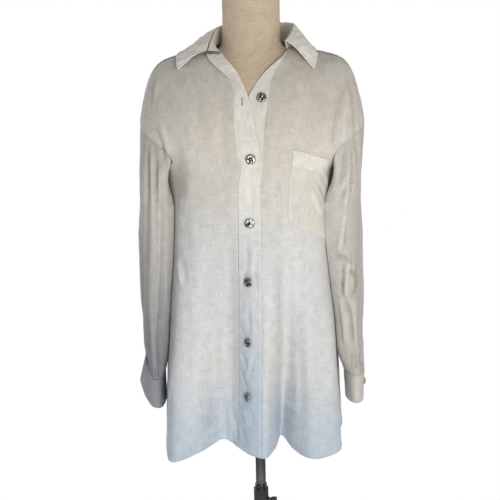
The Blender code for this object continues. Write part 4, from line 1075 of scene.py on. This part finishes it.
def pocket_grid(cloth):
    table = read_table(POCKET_SECTIONS)
    across = np.linspace(0, 1, 44)
    down = np.linspace(0, 1, 60)[:, None]
    at = {name: curve(table["side"], column)(across) for name, column in table.items()}
    angle = at["top_angle"] + (at["bottom_angle"] - at["top_angle"]) * down
    station = at["top_station"] + (at["bottom_station"] - at["top_station"]) * down
    grid = raised(worn(angle, station, 1.4 * MM), ["top"], POCKET_HEM, 0.8 * DOUBLED)
    return raised(keep_clear(grid, cloth, 1.2 * MM), ["first", "last", "bottom"], 2 * MM, -0.35 * MM)


# ---------------------------------------------------------------- the dress form
def form_grid(cloth):
    table = read_table(FORM_SECTIONS)
    rows = np.arange(len(table["half"]))
    fine = np.linspace(0, rows[-1], 190)
    at = {name: curve(rows, column)(fine)[:, None] for name, column in table.items()}
    angle = np.linspace(-180, 180, 128, endpoint=False)[None]
    x, y = ring_point(angle, at["half"], at["front"], at["back"], at["square"])
    z = ring_height(angle, at["z_front"], at["z_side"], at["z_back"])
    points = np.stack([x, y, z], -1) * MM
    return keep_clear(points, cloth, FORM_CLEARANCE, side=-1, farthest=12 * MM)


# ---------------------------------------------------------------- sewing
PITCH = 3.1 * MM
STITCH = 2.3 * MM
THREAD = 0.3 * MM
stitches = []


def line_at(points, side, distance, outward=1):
    """A line on a grid at an even distance from one of its edges, with its normals."""
    away = edge_distance(points, side)
    out = normals_of(points) * outward
    if side in ("first", "last"):
        points, away, out = points.transpose(1, 0, 2), away.T, out.transpose(1, 0, 2)
    if side in ("bottom", "last"):
        points, away, out = points[::-1], away[::-1], out[::-1]
    both = np.concatenate([points, out], -1)
    line = [[np.interp(distance, away[:, j], both[:, j, k]) for k in range(6)] for j in range(both.shape[1])]
    return np.array(line)


def sew(line, lift=0.45 * MM, pitch=PITCH, length=STITCH, thread=THREAD):
    """A row of stitches along a line, lying on the cloth."""
    places, out = line[:, :3], line[:, 3:]
    along = np.concatenate([[0], np.linalg.norm(np.diff(places, axis=0), axis=-1).cumsum()])
    middles = np.arange(pitch / 2, along[-1], pitch)
    at = lambda s: np.stack([np.interp(s, along, places[:, k]) for k in range(3)], -1)
    normal = np.stack([np.interp(middles, along, out[:, k]) for k in range(3)], -1)
    normal /= np.linalg.norm(normal, axis=-1, keepdims=True)
    first, last = at(middles - length / 2), at(middles + length / 2)
    aside = np.cross(last - first, normal)
    aside /= np.maximum(np.linalg.norm(aside, axis=-1, keepdims=True), 1e-9)
    middle = (first + last) / 2 + normal * lift
    stitches.append(
        np.stack(
            [
                first + normal * (lift - thread),
                middle + aside * thread,
                middle + normal * thread,
                middle - aside * thread,
                last + normal * (lift - thread),
            ],
            1,
        )
    )


def stitching(name):
    """One mesh of all the stitches so far."""
    points = np.concatenate(stitches)
    faces = np.array([(0, 1, 2), (0, 2, 3), (4, 2, 1), (4, 3, 2), (0, 3, 1), (4, 1, 3)])
    faces = (np.arange(len(points))[:, None, None] * 5 + faces).reshape(-1, 3)
    mesh = bpy.data.meshes.new(name)
    mesh.from_pydata(points.reshape(-1, 3).tolist(), [], faces.tolist())
    obj = bpy.data.objects.new(name, mesh)
    bpy.context.scene.collection.objects.link(obj)
    return obj


# ---------------------------------------------------------------- buttons and stand
def button(name, radius, height, matrix, seed, shade=1.0):
    """A domed, hammered metal button, darker in its dents, with a rolled rim; shade scales its colour down,
    as painted shade on the lower buttons.
    """
    rings, steps = 22, 64
    r = np.linspace(0, 1, rings)[:, None] + np.zeros(steps)
    turn = np.linspace(0, 2 * pi, steps, endpoint=False) + np.zeros((rings, 1))
    random = np.random.default_rng(seed)
    dome = height * (0.55 + 0.45 * np.sqrt(np.clip(1 - r**2 * 0.96, 0, 1)))
    dome *= 1 - 0.65 * smooth((r - 0.88) / 0.12)
    x, y = r * np.cos(turn), r * np.sin(turn)
    dents = np.zeros_like(r)
    for _ in range(9):
        distance = random.uniform(0.1, 0.8)
        direction = random.uniform(0, 2 * pi)
        wide = random.uniform(0.16, 0.3)
        stretch = random.uniform(0, pi)
        dx, dy = x - distance * np.cos(direction), y - distance * np.sin(direction)
        long = dx * np.cos(stretch) + dy * np.sin(stretch)
        short = -dx * np.sin(stretch) + dy * np.cos(stretch)
        dents = np.maximum(dents, smooth(1.2 - np.hypot(long / (1.9 * wide), short / (0.8 * wide))))
    groove = np.exp(-(((r - 0.84) / 0.035) ** 2))
    top = dome - (0.55 * MM * dents + 0.3 * MM * groove) * smooth((1 - r) / 0.08)
    points = np.stack([radius * x, radius * y, top], -1)
    skirt = points[-1:] * [0.97, 0.97, 0] + [0, 0, 0.1 * MM]
    points = np.concatenate([points, skirt, skirt * [0.4, 0.4, 1]])
    dark = np.clip(1.15 * dents + 0.8 * groove, 0, 1)[..., None]
    tint = np.array([0.66, 0.645, 0.62]) * (1 - dark) + np.array([0.035, 0.03, 0.027]) * dark
    tint = np.concatenate([shade * tint, np.full((2, steps, 3), 0.1)])
    obj = add_grid(name, points, tint, closed=True, flip=True, thickness=0)
    obj.data.transform(matrix)
    return obj


def turned(name, profile, steps, material, ripple=0, ripples=0):
    """A solid turned about Z from (radius, z) points in mm."""
    profile = np.array(profile, float) * MM
    turn = np.linspace(0, 2 * pi, steps, endpoint=False)
    radius = profile[:, :1] * (1 + ripple * np.cos(ripples * turn) * (profile[:, :1] > 3 * MM))
    points = np.stack([radius * np.cos(turn), radius * np.sin(turn), profile[:, 1:] + 0 * turn], -1)
    obj = add_grid(name, points, 1.0, closed=True, flip=True, thickness=0)
    obj.data.materials.append(material)
    return obj


def rounded(corners, radius, steps=5):
    """A profile with its inner corners rounded, in mm."""
    path = [corners[0]]
    for before, corner, after in zip(corners, corners[1:], corners[2:]):
        before, corner, after = (np.array(p, float) for p in (before, corner, after))
        size = min(radius, 0.45 * np.linalg.norm(before - corner), 0.45 * np.linalg.norm(after - corner))
        first = corner + (before - corner) / np.linalg.norm(before - corner) * size
        last = corner + (after - corner) / np.linalg.norm(after - corner) * size
        for part in np.linspace(0, 1, steps):
            path.append(tuple((1 - part) ** 2 * first + 2 * part * (1 - part) * corner + part**2 * last))
    return path + [corners[-1]]


# ---------------------------------------------------------------- materials
def new_material(name):
    material = bpy.data.materials.new(name)
    material.use_nodes = True
    nodes, links = material.node_tree.nodes, material.node_tree.links
    return material, nodes, links, nodes["Principled BSDF"]


def stretched_noise(nodes, links, source, scale, detail=2.0):
    """A noise texture on coordinates stretched by scale (per metre)."""
    mapping = nodes.new("ShaderNodeMapping")
    mapping.inputs["Scale"].default_value = scale
    links.new(source, mapping.inputs["Vector"])
    texture = nodes.new("ShaderNodeTexNoise")
    texture.inputs["Scale"].default_value = 1
    texture.inputs["Detail"].default_value = detail
    links.new(mapping.outputs["Vector"], texture.inputs["Vector"])
    return texture.outputs["Fac"]


def math_node(nodes, links, operation, first, second=None):
    node = nodes.new("ShaderNodeMath")
    node.operation = operation
    for socket, value in zip(node.inputs, (first, second)):
        if value is None:
            continue
        if isinstance(value, (int, float)):
            socket.default_value = value
        else:
            links.new(value, socket)
    return node.outputs[0]


def linen_material(name, colour=None, weave=1.0):
    """Plain-woven linen: uneven threads both ways, with slubs, on a uv in metres.

    Without a colour of its own it takes the cloth's, which is in 'tint'.
    """
    material, nodes, links, shader = new_material(name)
    shader.inputs["Roughness"].default_value = 0.88
    shader.inputs["Specular IOR Level"].default_value = 0.2
    shader.inputs["Sheen Weight"].default_value = 0.12
    shader.inputs["Sheen Roughness"].default_value = 0.4
    uv = nodes.new("ShaderNodeTexCoord").outputs["UV"]
    warp = stretched_noise(nodes, links, uv, (1400, 90, 1), 1.0)
    weft = stretched_noise(nodes, links, uv, (90, 1400, 1), 1.0)
    slub_down = stretched_noise(nodes, links, uv, (480, 42, 1), 2.0)
    slub_across = stretched_noise(nodes, links, uv, (42, 480, 1), 2.0)
    threads = math_node(nodes, links, "ADD", warp, weft)
    slubs = math_node(nodes, links, "ADD", slub_down, slub_across)
    cloudy = stretched_noise(nodes, links, uv, (60, 60, 1), 3.0)
    total = math_node(nodes, links, "ADD", threads, slubs)
    total = math_node(nodes, links, "ADD", total, cloudy)
    shade = nodes.new("ShaderNodeMapRange")
    shade.inputs["From Min"].default_value = 1.9
    shade.inputs["From Max"].default_value = 3.1
    shade.inputs["To Min"].default_value = 1 - 0.19 * weave
    shade.inputs["To Max"].default_value = 1 + 0.13 * weave
    links.new(total, shade.inputs["Value"])
    mix = nodes.new("ShaderNodeMix")
    mix.data_type = "RGBA"
    mix.blend_type = "MULTIPLY"
    mix.inputs["Factor"].default_value = 1
    if colour:
        mix.inputs["A"].default_value = (*colour, 1)
    else:
        tint = nodes.new("ShaderNodeAttribute")
        tint.attribute_name = "tint"
        links.new(tint.outputs["Color"], mix.inputs["A"])
    links.new(shade.outputs["Result"], mix.inputs["B"])
    links.new(mix.outputs["Result"], shader.inputs["Base Color"])
    height = math_node(nodes, links, "ADD", threads, math_node(nodes, links, "MULTIPLY", slubs, 1.5))
    bump = nodes.new("ShaderNodeBump")
    bump.inputs["Strength"].default_value = 0.35
    bump.inputs["Distance"].default_value = 0.0003
    links.new(height, bump.inputs["Height"])
    links.new(bump.outputs["Normal"], shader.inputs["Normal"])
    return material


def hammered_metal(name):
    """Tarnished silver: its colour is in 'tint', light on the dome and dark in the dents."""
    material, nodes, links, shader = new_material(name)
    shader.inputs["Metallic"].default_value = 0.9
    tint = nodes.new("ShaderNodeAttribute")
    tint.attribute_name = "tint"
    links.new(tint.outputs["Color"], shader.inputs["Base Color"])
    place = nodes.new("ShaderNodeTexCoord").outputs["Object"]
    grain = stretched_noise(nodes, links, place, (900, 900, 900), 3.0)
    rough = nodes.new("ShaderNodeMapRange")
    rough.inputs["To Min"].default_value = 0.2
    rough.inputs["To Max"].default_value = 0.42
    links.new(grain, rough.inputs["Value"])
    links.new(rough.outputs["Result"], shader.inputs["Roughness"])
    bump = nodes.new("ShaderNodeBump")
    bump.inputs["Strength"].default_value = 0.25
    bump.inputs["Distance"].default_value = 0.0002
    links.new(grain, bump.inputs["Height"])
    links.new(bump.outputs["Normal"], shader.inputs["Normal"])
    return material


def metal_material(name, light, dark, size, roughness, bumps):
    """Metal whose hollows are darker; size is the pattern's scale per metre."""
    material, nodes, links, shader = new_material(name)
    shader.inputs["Metallic"].default_value = 1
    place = nodes.new("ShaderNodeTexCoord").outputs["Object"]
    pattern = stretched_noise(nodes, links, place, (size, size, size), 3.0)
    ramp = nodes.new("ShaderNodeValToRGB")
    ramp.color_ramp.elements[0].position = 0.3
    ramp.color_ramp.elements[0].color = (*dark, 1)
    ramp.color_ramp.elements[1].position = 0.7
    ramp.color_ramp.elements[1].color = (*light, 1)
    links.new(pattern, ramp.inputs["Fac"])
    links.new(ramp.outputs["Color"], shader.inputs["Base Color"])
    rough = nodes.new("ShaderNodeMapRange")
    rough.inputs["To Min"].default_value = roughness + 0.07
    rough.inputs["To Max"].default_value = roughness
    links.new(pattern, rough.inputs["Value"])
    links.new(rough.outputs["Result"], shader.inputs["Roughness"])
    bump = nodes.new("ShaderNodeBump")
    bump.inputs["Strength"].default_value = bumps
    bump.inputs["Distance"].default_value = 0.0006
    links.new(pattern, bump.inputs["Height"])
    links.new(bump.outputs["Normal"], shader.inputs["Normal"])
    return material


def wood_material(name):
    material, nodes, links, shader = new_material(name)
    place = nodes.new("ShaderNodeTexCoord").outputs["Object"]
    grain = stretched_noise(nodes, links, place, (30, 400, 30), 4.0)
    ramp = nodes.new("ShaderNodeValToRGB")
    ramp.color_ramp.elements[0].color = (0.16, 0.075, 0.03, 1)
    ramp.color_ramp.elements[1].color = (0.4, 0.22, 0.1, 1)
    links.new(grain, ramp.inputs["Fac"])
    links.new(ramp.outputs["Color"], shader.inputs["Base Color"])
    shader.inputs["Roughness"].default_value = 0.35
    shader.inputs["Coat Weight"].default_value = 0.4
    return material


def plastic_material(name):
    material, nodes, links, shader = new_material(name)
    place = nodes.new("ShaderNodeTexCoord").outputs["Object"]
    grain = stretched_noise(nodes, links, place, (900, 900, 900), 2.0)
    shade = nodes.new("ShaderNodeMapRange")
    shade.inputs["To Min"].default_value = 0.35
    shade.inputs["To Max"].default_value = 0.6
    links.new(grain, shade.inputs["Value"])
    links.new(shade.outputs["Result"], shader.inputs["Roughness"])
    shader.inputs["Base Color"].default_value = (0.025, 0.025, 0.027, 1)
    return material


# the warm and cool colours are mixed by height as painted light: warmer higher up, cooler lower down, as
# under a warm lamp above and a cool one below
WARM = np.array([0.64, 0.605, 0.545])
COOL = np.array([0.65, 0.664, 0.674])
CREAM = np.array([0.745, 0.72, 0.66])
# the folded cloth's cool colour, mixed with cream by height as the same painted light
COOL_FOLDED = np.array([0.67, 0.685, 0.70])
# painted shade: the cloth darker and bluer towards the hem, where the light falls off
HEM_PAINTED_SHADE = np.array([0.2, 0.12, 0.035])
SLEEVE = np.array([0.55, 0.528, 0.486])
# painted shade: the wearer's right sleeve and cuff darker low down, turned away from the light
SLEEVE_LOW_PAINTED_SHADE = np.array([0.275, 0.28, 0.302])


def mixed(first, second, share):
    """A colour for each point of a grid, between two."""
    return first + (second - first) * share[..., None]


def height_share(points, low=1020, high=1230):
    return smooth((points[..., 2] / MM - low) / (high - low))


# folded cloth: cream higher up and cool lower down as painted light, with painted shade towards the hem
def folded_tint(points):
    tint = mixed(COOL_FOLDED, CREAM, height_share(points))
    return tint * (1 - 1.3 * HEM_PAINTED_SHADE * (1 - height_share(points, 730, 1000))[..., None])


def edge_tint_and_seam_shadow(tint, points, sides, width, lightening_or_seam_shadow):
    """A tint that changes along some edges: lighter where the cloth is doubled, and darker beside a seam,
    which is painted seam shadow.
    """
    tint = np.broadcast_to(tint, points.shape).copy()
    for side in sides:
        tint *= 1 + lightening_or_seam_shadow * np.exp(-((edge_distance(points, side) / width) ** 2))[..., None]
    return tint


def folds_shaded(tint, points, on, outward=1, strength=0.045, closed=False):
    """A tint with painted light on the creases: a painted highlight on their ridges and painted shade in
    their troughs.
    """
    out = normals_of(points, closed) * outward
    relief = crease_relief(points, out, on) / MM + 1.1 * noise(points, (10, 24, 150), 21)
    return tint * (1 + strength * np.clip(relief, -3.5, 3.5))[..., None]


def body_tint(points, form):
    """The form shows through the thin cloth where it is near. Painted light makes the cloth warmer higher up
    and cooler lower down, as under a warm lamp above and a cool one below, and painted shade darkens it
    towards the hem; it is also a little darker towards the top.
    """
    near = np.array([[form.find_nearest(Vector(point))[3] for point in row] for row in points])
    shows = np.exp(-near / (30 * MM))
    warm = np.clip(0.7 * height_share(points) + 0.35 * shows, 0, 1)
    tint = mixed(COOL, WARM, warm)
    # a little darker towards the top
    tint *= 1 - 0.09 * height_share(points, 1240, 1330)[..., None]
    # painted shade: darker and bluer towards the hem
    tint *= 1 - HEM_PAINTED_SHADE * (1 - height_share(points, 700, 850))[..., None]
    doubled = smooth((HEM_WIDTH - edge_distance(points, "bottom")) / MM)
    return tint + (folded_tint(points) - tint) * 0.6 * doubled[..., None]


linen = linen_material("linen")
form_linen = linen_material("form_linen", (0.6, 0.49, 0.365), 1.1)
silver = hammered_metal("silver")
chrome = metal_material("dark_chrome", (0.13, 0.126, 0.122), (0.1, 0.097, 0.094), 60, 0.15, 0.01)
black = plastic_material("black_plastic")
wood = wood_material("varnished_wood")


def dress(piece, node, body="figure"):
    """A finished piece takes its node's place."""
    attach(piece, body)
    if node:
        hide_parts(node)
    return piece


def cloth_piece(name, grid, tint, rests_on, held="draped", **how):
    piece = add_grid(f"{name}_cloth", grid, tint, **how)
    piece.data.materials.append(linen)
    dress(piece, name)
    return piece


# ---------------------------------------------------------------- the cloth pieces
body = {
    "front_left": front_left_grid(),
    "front_right": front_right_grid(),
    "band_left": band_left_grid(),
    "band_right": band_right_grid(),
    "band_right_turned": turned_band_grid(),
    "yoke": yoke_grid(),
    "back": back_grid(),
}
# edges that show lighter, where the cloth is doubled, or darker, with painted shadow beside a seam
EDGE_TINTS_AND_SEAM_SHADOWS = {
    "front_left": (["last"], 2.6, -0.28),
    "front_right": (["first"], 2.6, -0.28),
    "back": (["top", "first", "last"], 1.6, -0.22),
    "yoke": (["bottom", "first", "last"], 4.5, 0.12),
    "band_left": (["first", "last"], 2.5, 0.03),
    "band_right": (["first", "last"], 2.5, 0.03),
    "band_right_turned": (["first"], 2.5, 0.03),
}
THREAD_CENTRE = {"front_left": 0.0, "front_right": 0.0, "back": 180.0}
under_collar = ("front_left", "front_right", "band_left", "yoke", "back")
under = search_tree([(body[name], False) for name in under_collar])
form_points = form_grid(under)
form_tree = search_tree([(form_points, True)])
for name, grid in body.items():
    folded = name.startswith("band")
    tint = folded_tint(grid) if folded else body_tint(grid, form_tree)
    sides, width, lightening_or_seam_shadow = EDGE_TINTS_AND_SEAM_SHADOWS[name]
    tint = folds_shaded(edge_tint_and_seam_shadow(tint, grid, sides, width * MM, lightening_or_seam_shadow), grid, "body")
    threads = thread_places(grid, THREAD_CENTRE[name]) if name in THREAD_CENTRE else None
    cloth_piece(name, grid, tint, ["dress_form"], thickness=FOLDED if folded else CLOTH, threads=threads)

left_cuff, right_cuff = cuff_grids()
sleeves = {}
for name, side, ring, cuff in (
    ("left", 1, closed_cuff_edge(CUFF_TOP, 17.5, 51), left_cuff),
    ("right", -1, open_cuff_edge("top"), right_cuff),
):
    rings = sleeve_rings(side, ring, under)
    sleeves[name] = rings
    # painted shade: both sleeves darker towards the cuff, the wearer's right one much darker, turned away
    # from the light
    low = SLEEVE_LOW_PAINTED_SHADE if side < 0 else 0.94 * SLEEVE
    tint = mixed(low, SLEEVE if side > 0 else 0.95 * SLEEVE, height_share(rings, 800, 1160))
    # painted seam shadow along the armhole
    tint = edge_tint_and_seam_shadow(tint, rings, ["top"], 1.8 * MM, -0.2)
    tint = folds_shaded(tint, rings, name, -side, 0.06, closed=True)
    cloth_piece(f"sleeve_{name}", rings, tint, [f"front_{name}"], "hung", closed=True, flip=side > 0)
    cloth_piece(
        f"cuff_{name}",
        cuff,
        # the wearer's right cuff takes the sleeve's painted shade
        0.8 * CREAM if side > 0 else 1.12 * SLEEVE_LOW_PAINTED_SHADE,
        [f"sleeve_{name}"],
        "hung",
        closed=name == "left",
        flip=side > 0,
        thickness=1.8 * MM,
    )
stand, fall = collar_grids()
cloth_piece("collar_stand", stand, CREAM, ["yoke"], thickness=1.4 * MM)
# painted light: the collar's fall a little lighter than its stand, as lit from above
cloth_piece("collar", fall, 1.07 * CREAM, ["collar_stand", "yoke"], "folded", thickness=1.4 * MM)
pocket = pocket_grid(under)
doubled = smooth((POCKET_HEM - edge_distance(pocket, "top")) / MM)
pocket_tint = mixed(0.91 * CREAM, 1.0 * CREAM, doubled)
pocket_tint = edge_tint_and_seam_shadow(pocket_tint, pocket, ["first", "last", "bottom"], 2.2 * MM, 0.1)
cloth_piece("pocket", pocket, folds_shaded(pocket_tint, pocket, "body"), ["front_left"])

# ---------------------------------------------------------------- sewing
for name in ("front_left", "front_right", "back"):
    sew(line_at(body[name], "bottom", HEM_WIDTH - 1.2 * MM), 0.8 * MM)
for side in ("bottom", "first", "last"):
    sew(line_at(body["yoke"], side, 1.6 * MM), 0.9 * MM)
    sew(line_at(body["yoke"], side, 4.8 * MM), 0.9 * MM)
sew(line_at(body["front_left"], "last", 2 * MM), 0.3 * MM)
sew(line_at(body["front_right"], "first", 2 * MM), 0.3 * MM)
sew(line_at(body["band_right"], "first", 1.8 * MM), 0.55 * MM)
sew(line_at(body["band_right"], "last", 2.2 * MM), 0.55 * MM)
sew(line_at(body["band_left"], "last", 1.8 * MM), 0.55 * MM)
sew(line_at(body["band_right_turned"], "first", 1.8 * MM), 0.55 * MM)
for side in ("bottom", "first", "last"):
    sew(line_at(fall, side, 5.5 * MM, -1), 0.7 * MM)
    sew(line_at(pocket, side, 1.6 * MM), 0.3 * MM)
sew(line_at(pocket, "top", POCKET_HEM), 0.5 * MM)
sew(line_at(stand, "bottom", 1.6 * MM, -1), 0.7 * MM)
for cuff, outward in ((left_cuff, -1), (right_cuff, 1)):
    sew(line_at(cuff, "top", 1.6 * MM, outward), 0.9 * MM)
    sew(line_at(cuff, "bottom", 4 * MM, outward), 0.9 * MM)
sew(line_at(right_cuff, "first", 4 * MM), 0.9 * MM)
sew(line_at(right_cuff, "last", 4 * MM), 0.9 * MM)
sew(line_at(sleeves["left"], "top", 2.4 * MM, -1), 0.3 * MM)
sew(line_at(sleeves["right"], "top", 2.4 * MM), 0.3 * MM)

# the top buttonhole is open: a slit with worked edges, and a dark strip in it, painted shade for the open cut
slit_station = np.linspace(2.1, 2.62, 30)
slit_angle = np.interp(slit_station, [2.1, 2.62], [-10.7, -10])
neck_lift = LAYER + 1.2 * MM + 0.3 * MM
slit = worn(slit_angle, slit_station, neck_lift)
slit_out = (worn(slit_angle, slit_station, neck_lift + MM) - slit) / MM
slit_aside = np.cross(np.gradient(slit, axis=0), slit_out)
slit_aside /= np.linalg.norm(slit_aside, axis=-1, keepdims=True)
for side in (-1, 1):
    edge = np.concatenate([slit + slit_aside * side * 1.1 * MM, slit_out], -1)
    for shift in (0, 0.35 * MM):
        sew(edge + np.pad(slit_aside * side * shift, ((0, 0), (0, 3))), 0.7 * MM, 0.9 * MM, 0.85 * MM)
slit_shadow = add_grid(
    "buttonhole_slit_shadow",
    np.stack([slit + slit_aside * part * 0.55 * MM + slit_out * 0.5 * MM for part in (-1, 1)], 1),
    # painted shade: the open slit's near-black colour
    0.06,
    thickness=0,
)
slit_shadow.data.materials.append(linen)
dress(slit_shadow, None)

thread_work = stitching("stitching")
thread = linen_material("thread", (0.8, 0.775, 0.72), 0.5)
thread_work.data.materials.append(thread)
dress(thread_work, None)

# ---------------------------------------------------------------- buttons
def on_cloth(angle, station, lift):
    here = worn(angle, station, lift)
    return place_along(here, cloth_point(angle, station, MM) - cloth_point(angle, station))


def place_along(here, out):
    turn = Vector(out).to_track_quat("Z", "Y").to_matrix().to_4x4()
    return Matrix.Translation(Vector(here)) @ turn


def on_cuff(ring, part):
    """A matrix that lays a button on a cuff's outside, part of the way round its ring."""
    place = round(part * len(ring))
    along = ring[place + 1] - ring[place - 1]
    out = np.cross(along, [0, 0, 1.0])
    out *= np.sign((out * (ring[place] - ring.mean(0))).sum()) / np.linalg.norm(out)
    return place_along(ring[place] + out * 1.3 * MM, out)


table = read_table(BUTTONS)
places = {}
for number, angle, station, layers, turn in zip(*table.values()):
    tilt = np.radians(turn)
    lift = layers * LAYER + 0.9 * MM + 0.82 * BUTTON_RADIUS * np.sin(tilt)
    place = on_cloth(angle, station, lift)
    swing = Matrix.Rotation(-tilt, 4, "Z")
    places[f"button_{number:.0f}"] = Matrix.Translation(place.translation) @ swing @ place.to_3x3().to_4x4()
places["cuff_button_left"] = on_cuff(closed_cuff_edge(792, 16.5, 49), 0.1)
middle = (open_cuff_edge("top") + open_cuff_edge("bottom")) / 2
places["cuff_button_right"] = on_cuff(middle, 0.9)
for seed, (name, place) in enumerate(places.items()):
    radius = BUTTON_RADIUS if name.startswith("button") else CUFF_BUTTON_RADIUS
    # painted shade: buttons 4 to 6 darker, lower down where the light falls off
    shade = 0.6 if name in ("button_4", "button_5", "button_6") else 0.85
    piece = button(f"{name}_metal", radius, 3.6 * MM, place, seed + 1, shade)
    piece.data.materials.append(silver)
    dress(piece, name)

# ---------------------------------------------------------------- the form and its stand
form_piece = add_grid("dress_form_cover", form_points, 1.0, closed=True, thickness=0)
edit = bmesh.new()
edit.from_mesh(form_piece.data)
bmesh.ops.holes_fill(edit, edges=[edge for edge in edit.edges if edge.is_boundary])
bmesh.ops.recalc_face_normals(edit, faces=edit.faces)
edit.to_mesh(form_piece.data)
edit.free()
form_piece.data.materials.append(form_linen)
dress(form_piece, "dress_form")

cap = [(0, 12), (14, 11.9), (30, 11), (42, 8.6), (48, 4.6), (49.6, 1.2), (49.4, 0.1), (0, 0)]
cap = [(r, z + 1495.3) for r, z in cap]
dress(turned("neck_cap_turned", rounded(cap, 3), 96, wood), "neck_cap")
upper = [(0, 851.7), (42, 851.7), (42, 847.7), (14, 845.7), (13, 821.7), (9.5, 820.7), (9.5, 350), (0, 350)]
dress(turned("pole_upper_turned", rounded(upper, 1), 64, chrome), "pole_upper", "mast")
lower = [(9.6, 577), (10.3, 577), (11.3, 576), (11.3, 9.3), (9.6, 9.3), (9.6, 577)]
dress(turned("pole_lower_turned", rounded(lower, 0.5), 64, chrome), "pole_lower", "base")
plate = [
    (0, 9), (11.6, 9), (11.6, 45), (15.6, 45), (18.6, 20), (40, 12), (152, 9), (160, 4), (160, 0), (0, 0),
]
dress(turned("base_plate_turned", rounded(plate, 2.5), 144, chrome), "base_plate", "base")
screw = [(0, 13), (5, 13), (6, 12), (6, 3), (4, 1.2), (4, 0.3), (2.7, 0.3), (2.7, -4.5), (0, -4.5)]
knob = turned("clamp_screw_turned", rounded(screw, 0.8), 96, black, 0.03, 16)
knob.data.transform(Matrix.Translation((17 * MM, 0, 541 * MM)) @ Matrix.Rotation(pi / 2, 4, "Y"))
dress(knob, "clamp_screw", "clamp_knob")
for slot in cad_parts["clamp"].material_slots:
    slot.material = chrome

# ---------------------------------------------------------------- camera, light and floor
PITCH_DEG, ROLL_DEG = 11.5, 1.3
camera = bpy.data.objects.new("camera", bpy.data.cameras.new("camera"))
bpy.context.scene.collection.objects.link(camera)
bpy.context.scene.camera = camera
camera.data.sensor_width = 36
camera.data.lens = 36 * 1056 / 500
tilt = Matrix.Rotation(np.radians(90 - PITCH_DEG), 4, "X") @ Matrix.Rotation(-np.radians(ROLL_DEG), 4, "Z")
camera.matrix_world = Matrix.Translation((-0.011, -1.9, 1.42)) @ tilt


def area_light(name, place, aim, size, power, colour=(1, 1, 1)):
    light = bpy.data.lights.new(name, "AREA")
    light.size = size
    light.energy = power
    light.color = colour
    obj = bpy.data.objects.new(name, light)
    turn = (Vector(aim) - Vector(place)).to_track_quat("-Z", "Y").to_matrix().to_4x4()
    obj.matrix_world = Matrix.Translation(place) @ turn
    bpy.context.scene.collection.objects.link(obj)


area_light("key", (0.4, -1.45, 1.25), (0, 0, 1.1), 0.4, 12, (1.0, 0.95, 0.88))
area_light("fill", (-0.3, -1.6, 0.8), (0, 0, 0.95), 0.8, 4.0, (0.8, 0.89, 1.0))
area_light("back", (-0.8, 2.2, 1.9), (0, 0, 1.1), 1.4, 26)
area_light("side_left", (2.1, 0.8, 1.7), (0, 0, 1.1), 1.2, 12)
area_light("side_right", (-2.1, 0.8, 1.7), (0, 0, 1.1), 1.2, 12)
world = bpy.data.worlds.new("studio")
bpy.context.scene.world = world
world.use_nodes = True
sky_nodes, sky_links = world.node_tree.nodes, world.node_tree.links
ambient = sky_nodes["Background"]
ambient.inputs["Strength"].default_value = 0.31
ambient.inputs["Color"].default_value = (1, 1, 1, 1)
white = sky_nodes.new("ShaderNodeBackground")
white.inputs["Color"].default_value = (1, 1, 1, 1)
white.inputs["Strength"].default_value = 1
path = sky_nodes.new("ShaderNodeLightPath")
choose = sky_nodes.new("ShaderNodeMixShader")
sky_links.new(path.outputs["Is Camera Ray"], choose.inputs[0])
sky_links.new(ambient.outputs[0], choose.inputs[1])
sky_links.new(white.outputs[0], choose.inputs[2])
sky_links.new(choose.outputs[0], sky_nodes["World Output"].inputs["Surface"])
bpy.context.scene.view_settings.view_transform = "Standard"

floor_mesh = bpy.data.meshes.new("floor")
edit = bmesh.new()
bmesh.ops.create_circle(edit, cap_ends=True, segments=96, radius=1.0)
edit.to_mesh(floor_mesh)
edit.free()
floor = bpy.data.objects.new("floor", floor_mesh)
bpy.context.scene.collection.objects.link(floor)
glowing_floor, floor_nodes, floor_links, floor_shader = new_material("pale_glowing_floor")
floor_shader.inputs["Base Color"].default_value = (0.82, 0.82, 0.81, 1)
floor_shader.inputs["Roughness"].default_value = 0.9
# painted light: the floor glows, brighter towards its rim, where it fades into the white background
floor_shader.inputs["Emission Color"].default_value = (1, 1, 1, 1)
floor_place = floor_nodes.new("ShaderNodeTexCoord").outputs["Object"]
fading = floor_nodes.new("ShaderNodeTexGradient")
fading.gradient_type = "SPHERICAL"
floor_links.new(floor_place, fading.inputs["Vector"])
glow = floor_nodes.new("ShaderNodeMapRange")
glow.interpolation_type = "SMOOTHSTEP"
glow.inputs["From Min"].default_value = 0.55
glow.inputs["From Max"].default_value = 0.0
glow.inputs["To Min"].default_value = 0.3
glow.inputs["To Max"].default_value = 1.0
floor_links.new(fading.outputs["Fac"], glow.inputs["Value"])
floor_links.new(glow.outputs["Result"], floor_shader.inputs["Emission Strength"])
floor_mesh.materials.append(glowing_floor)
floor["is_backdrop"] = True


def corners(box):
    return [[float(value) for value in corner] for corner in box]


{"cad": corners(cad_box), "visual": corners(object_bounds())}
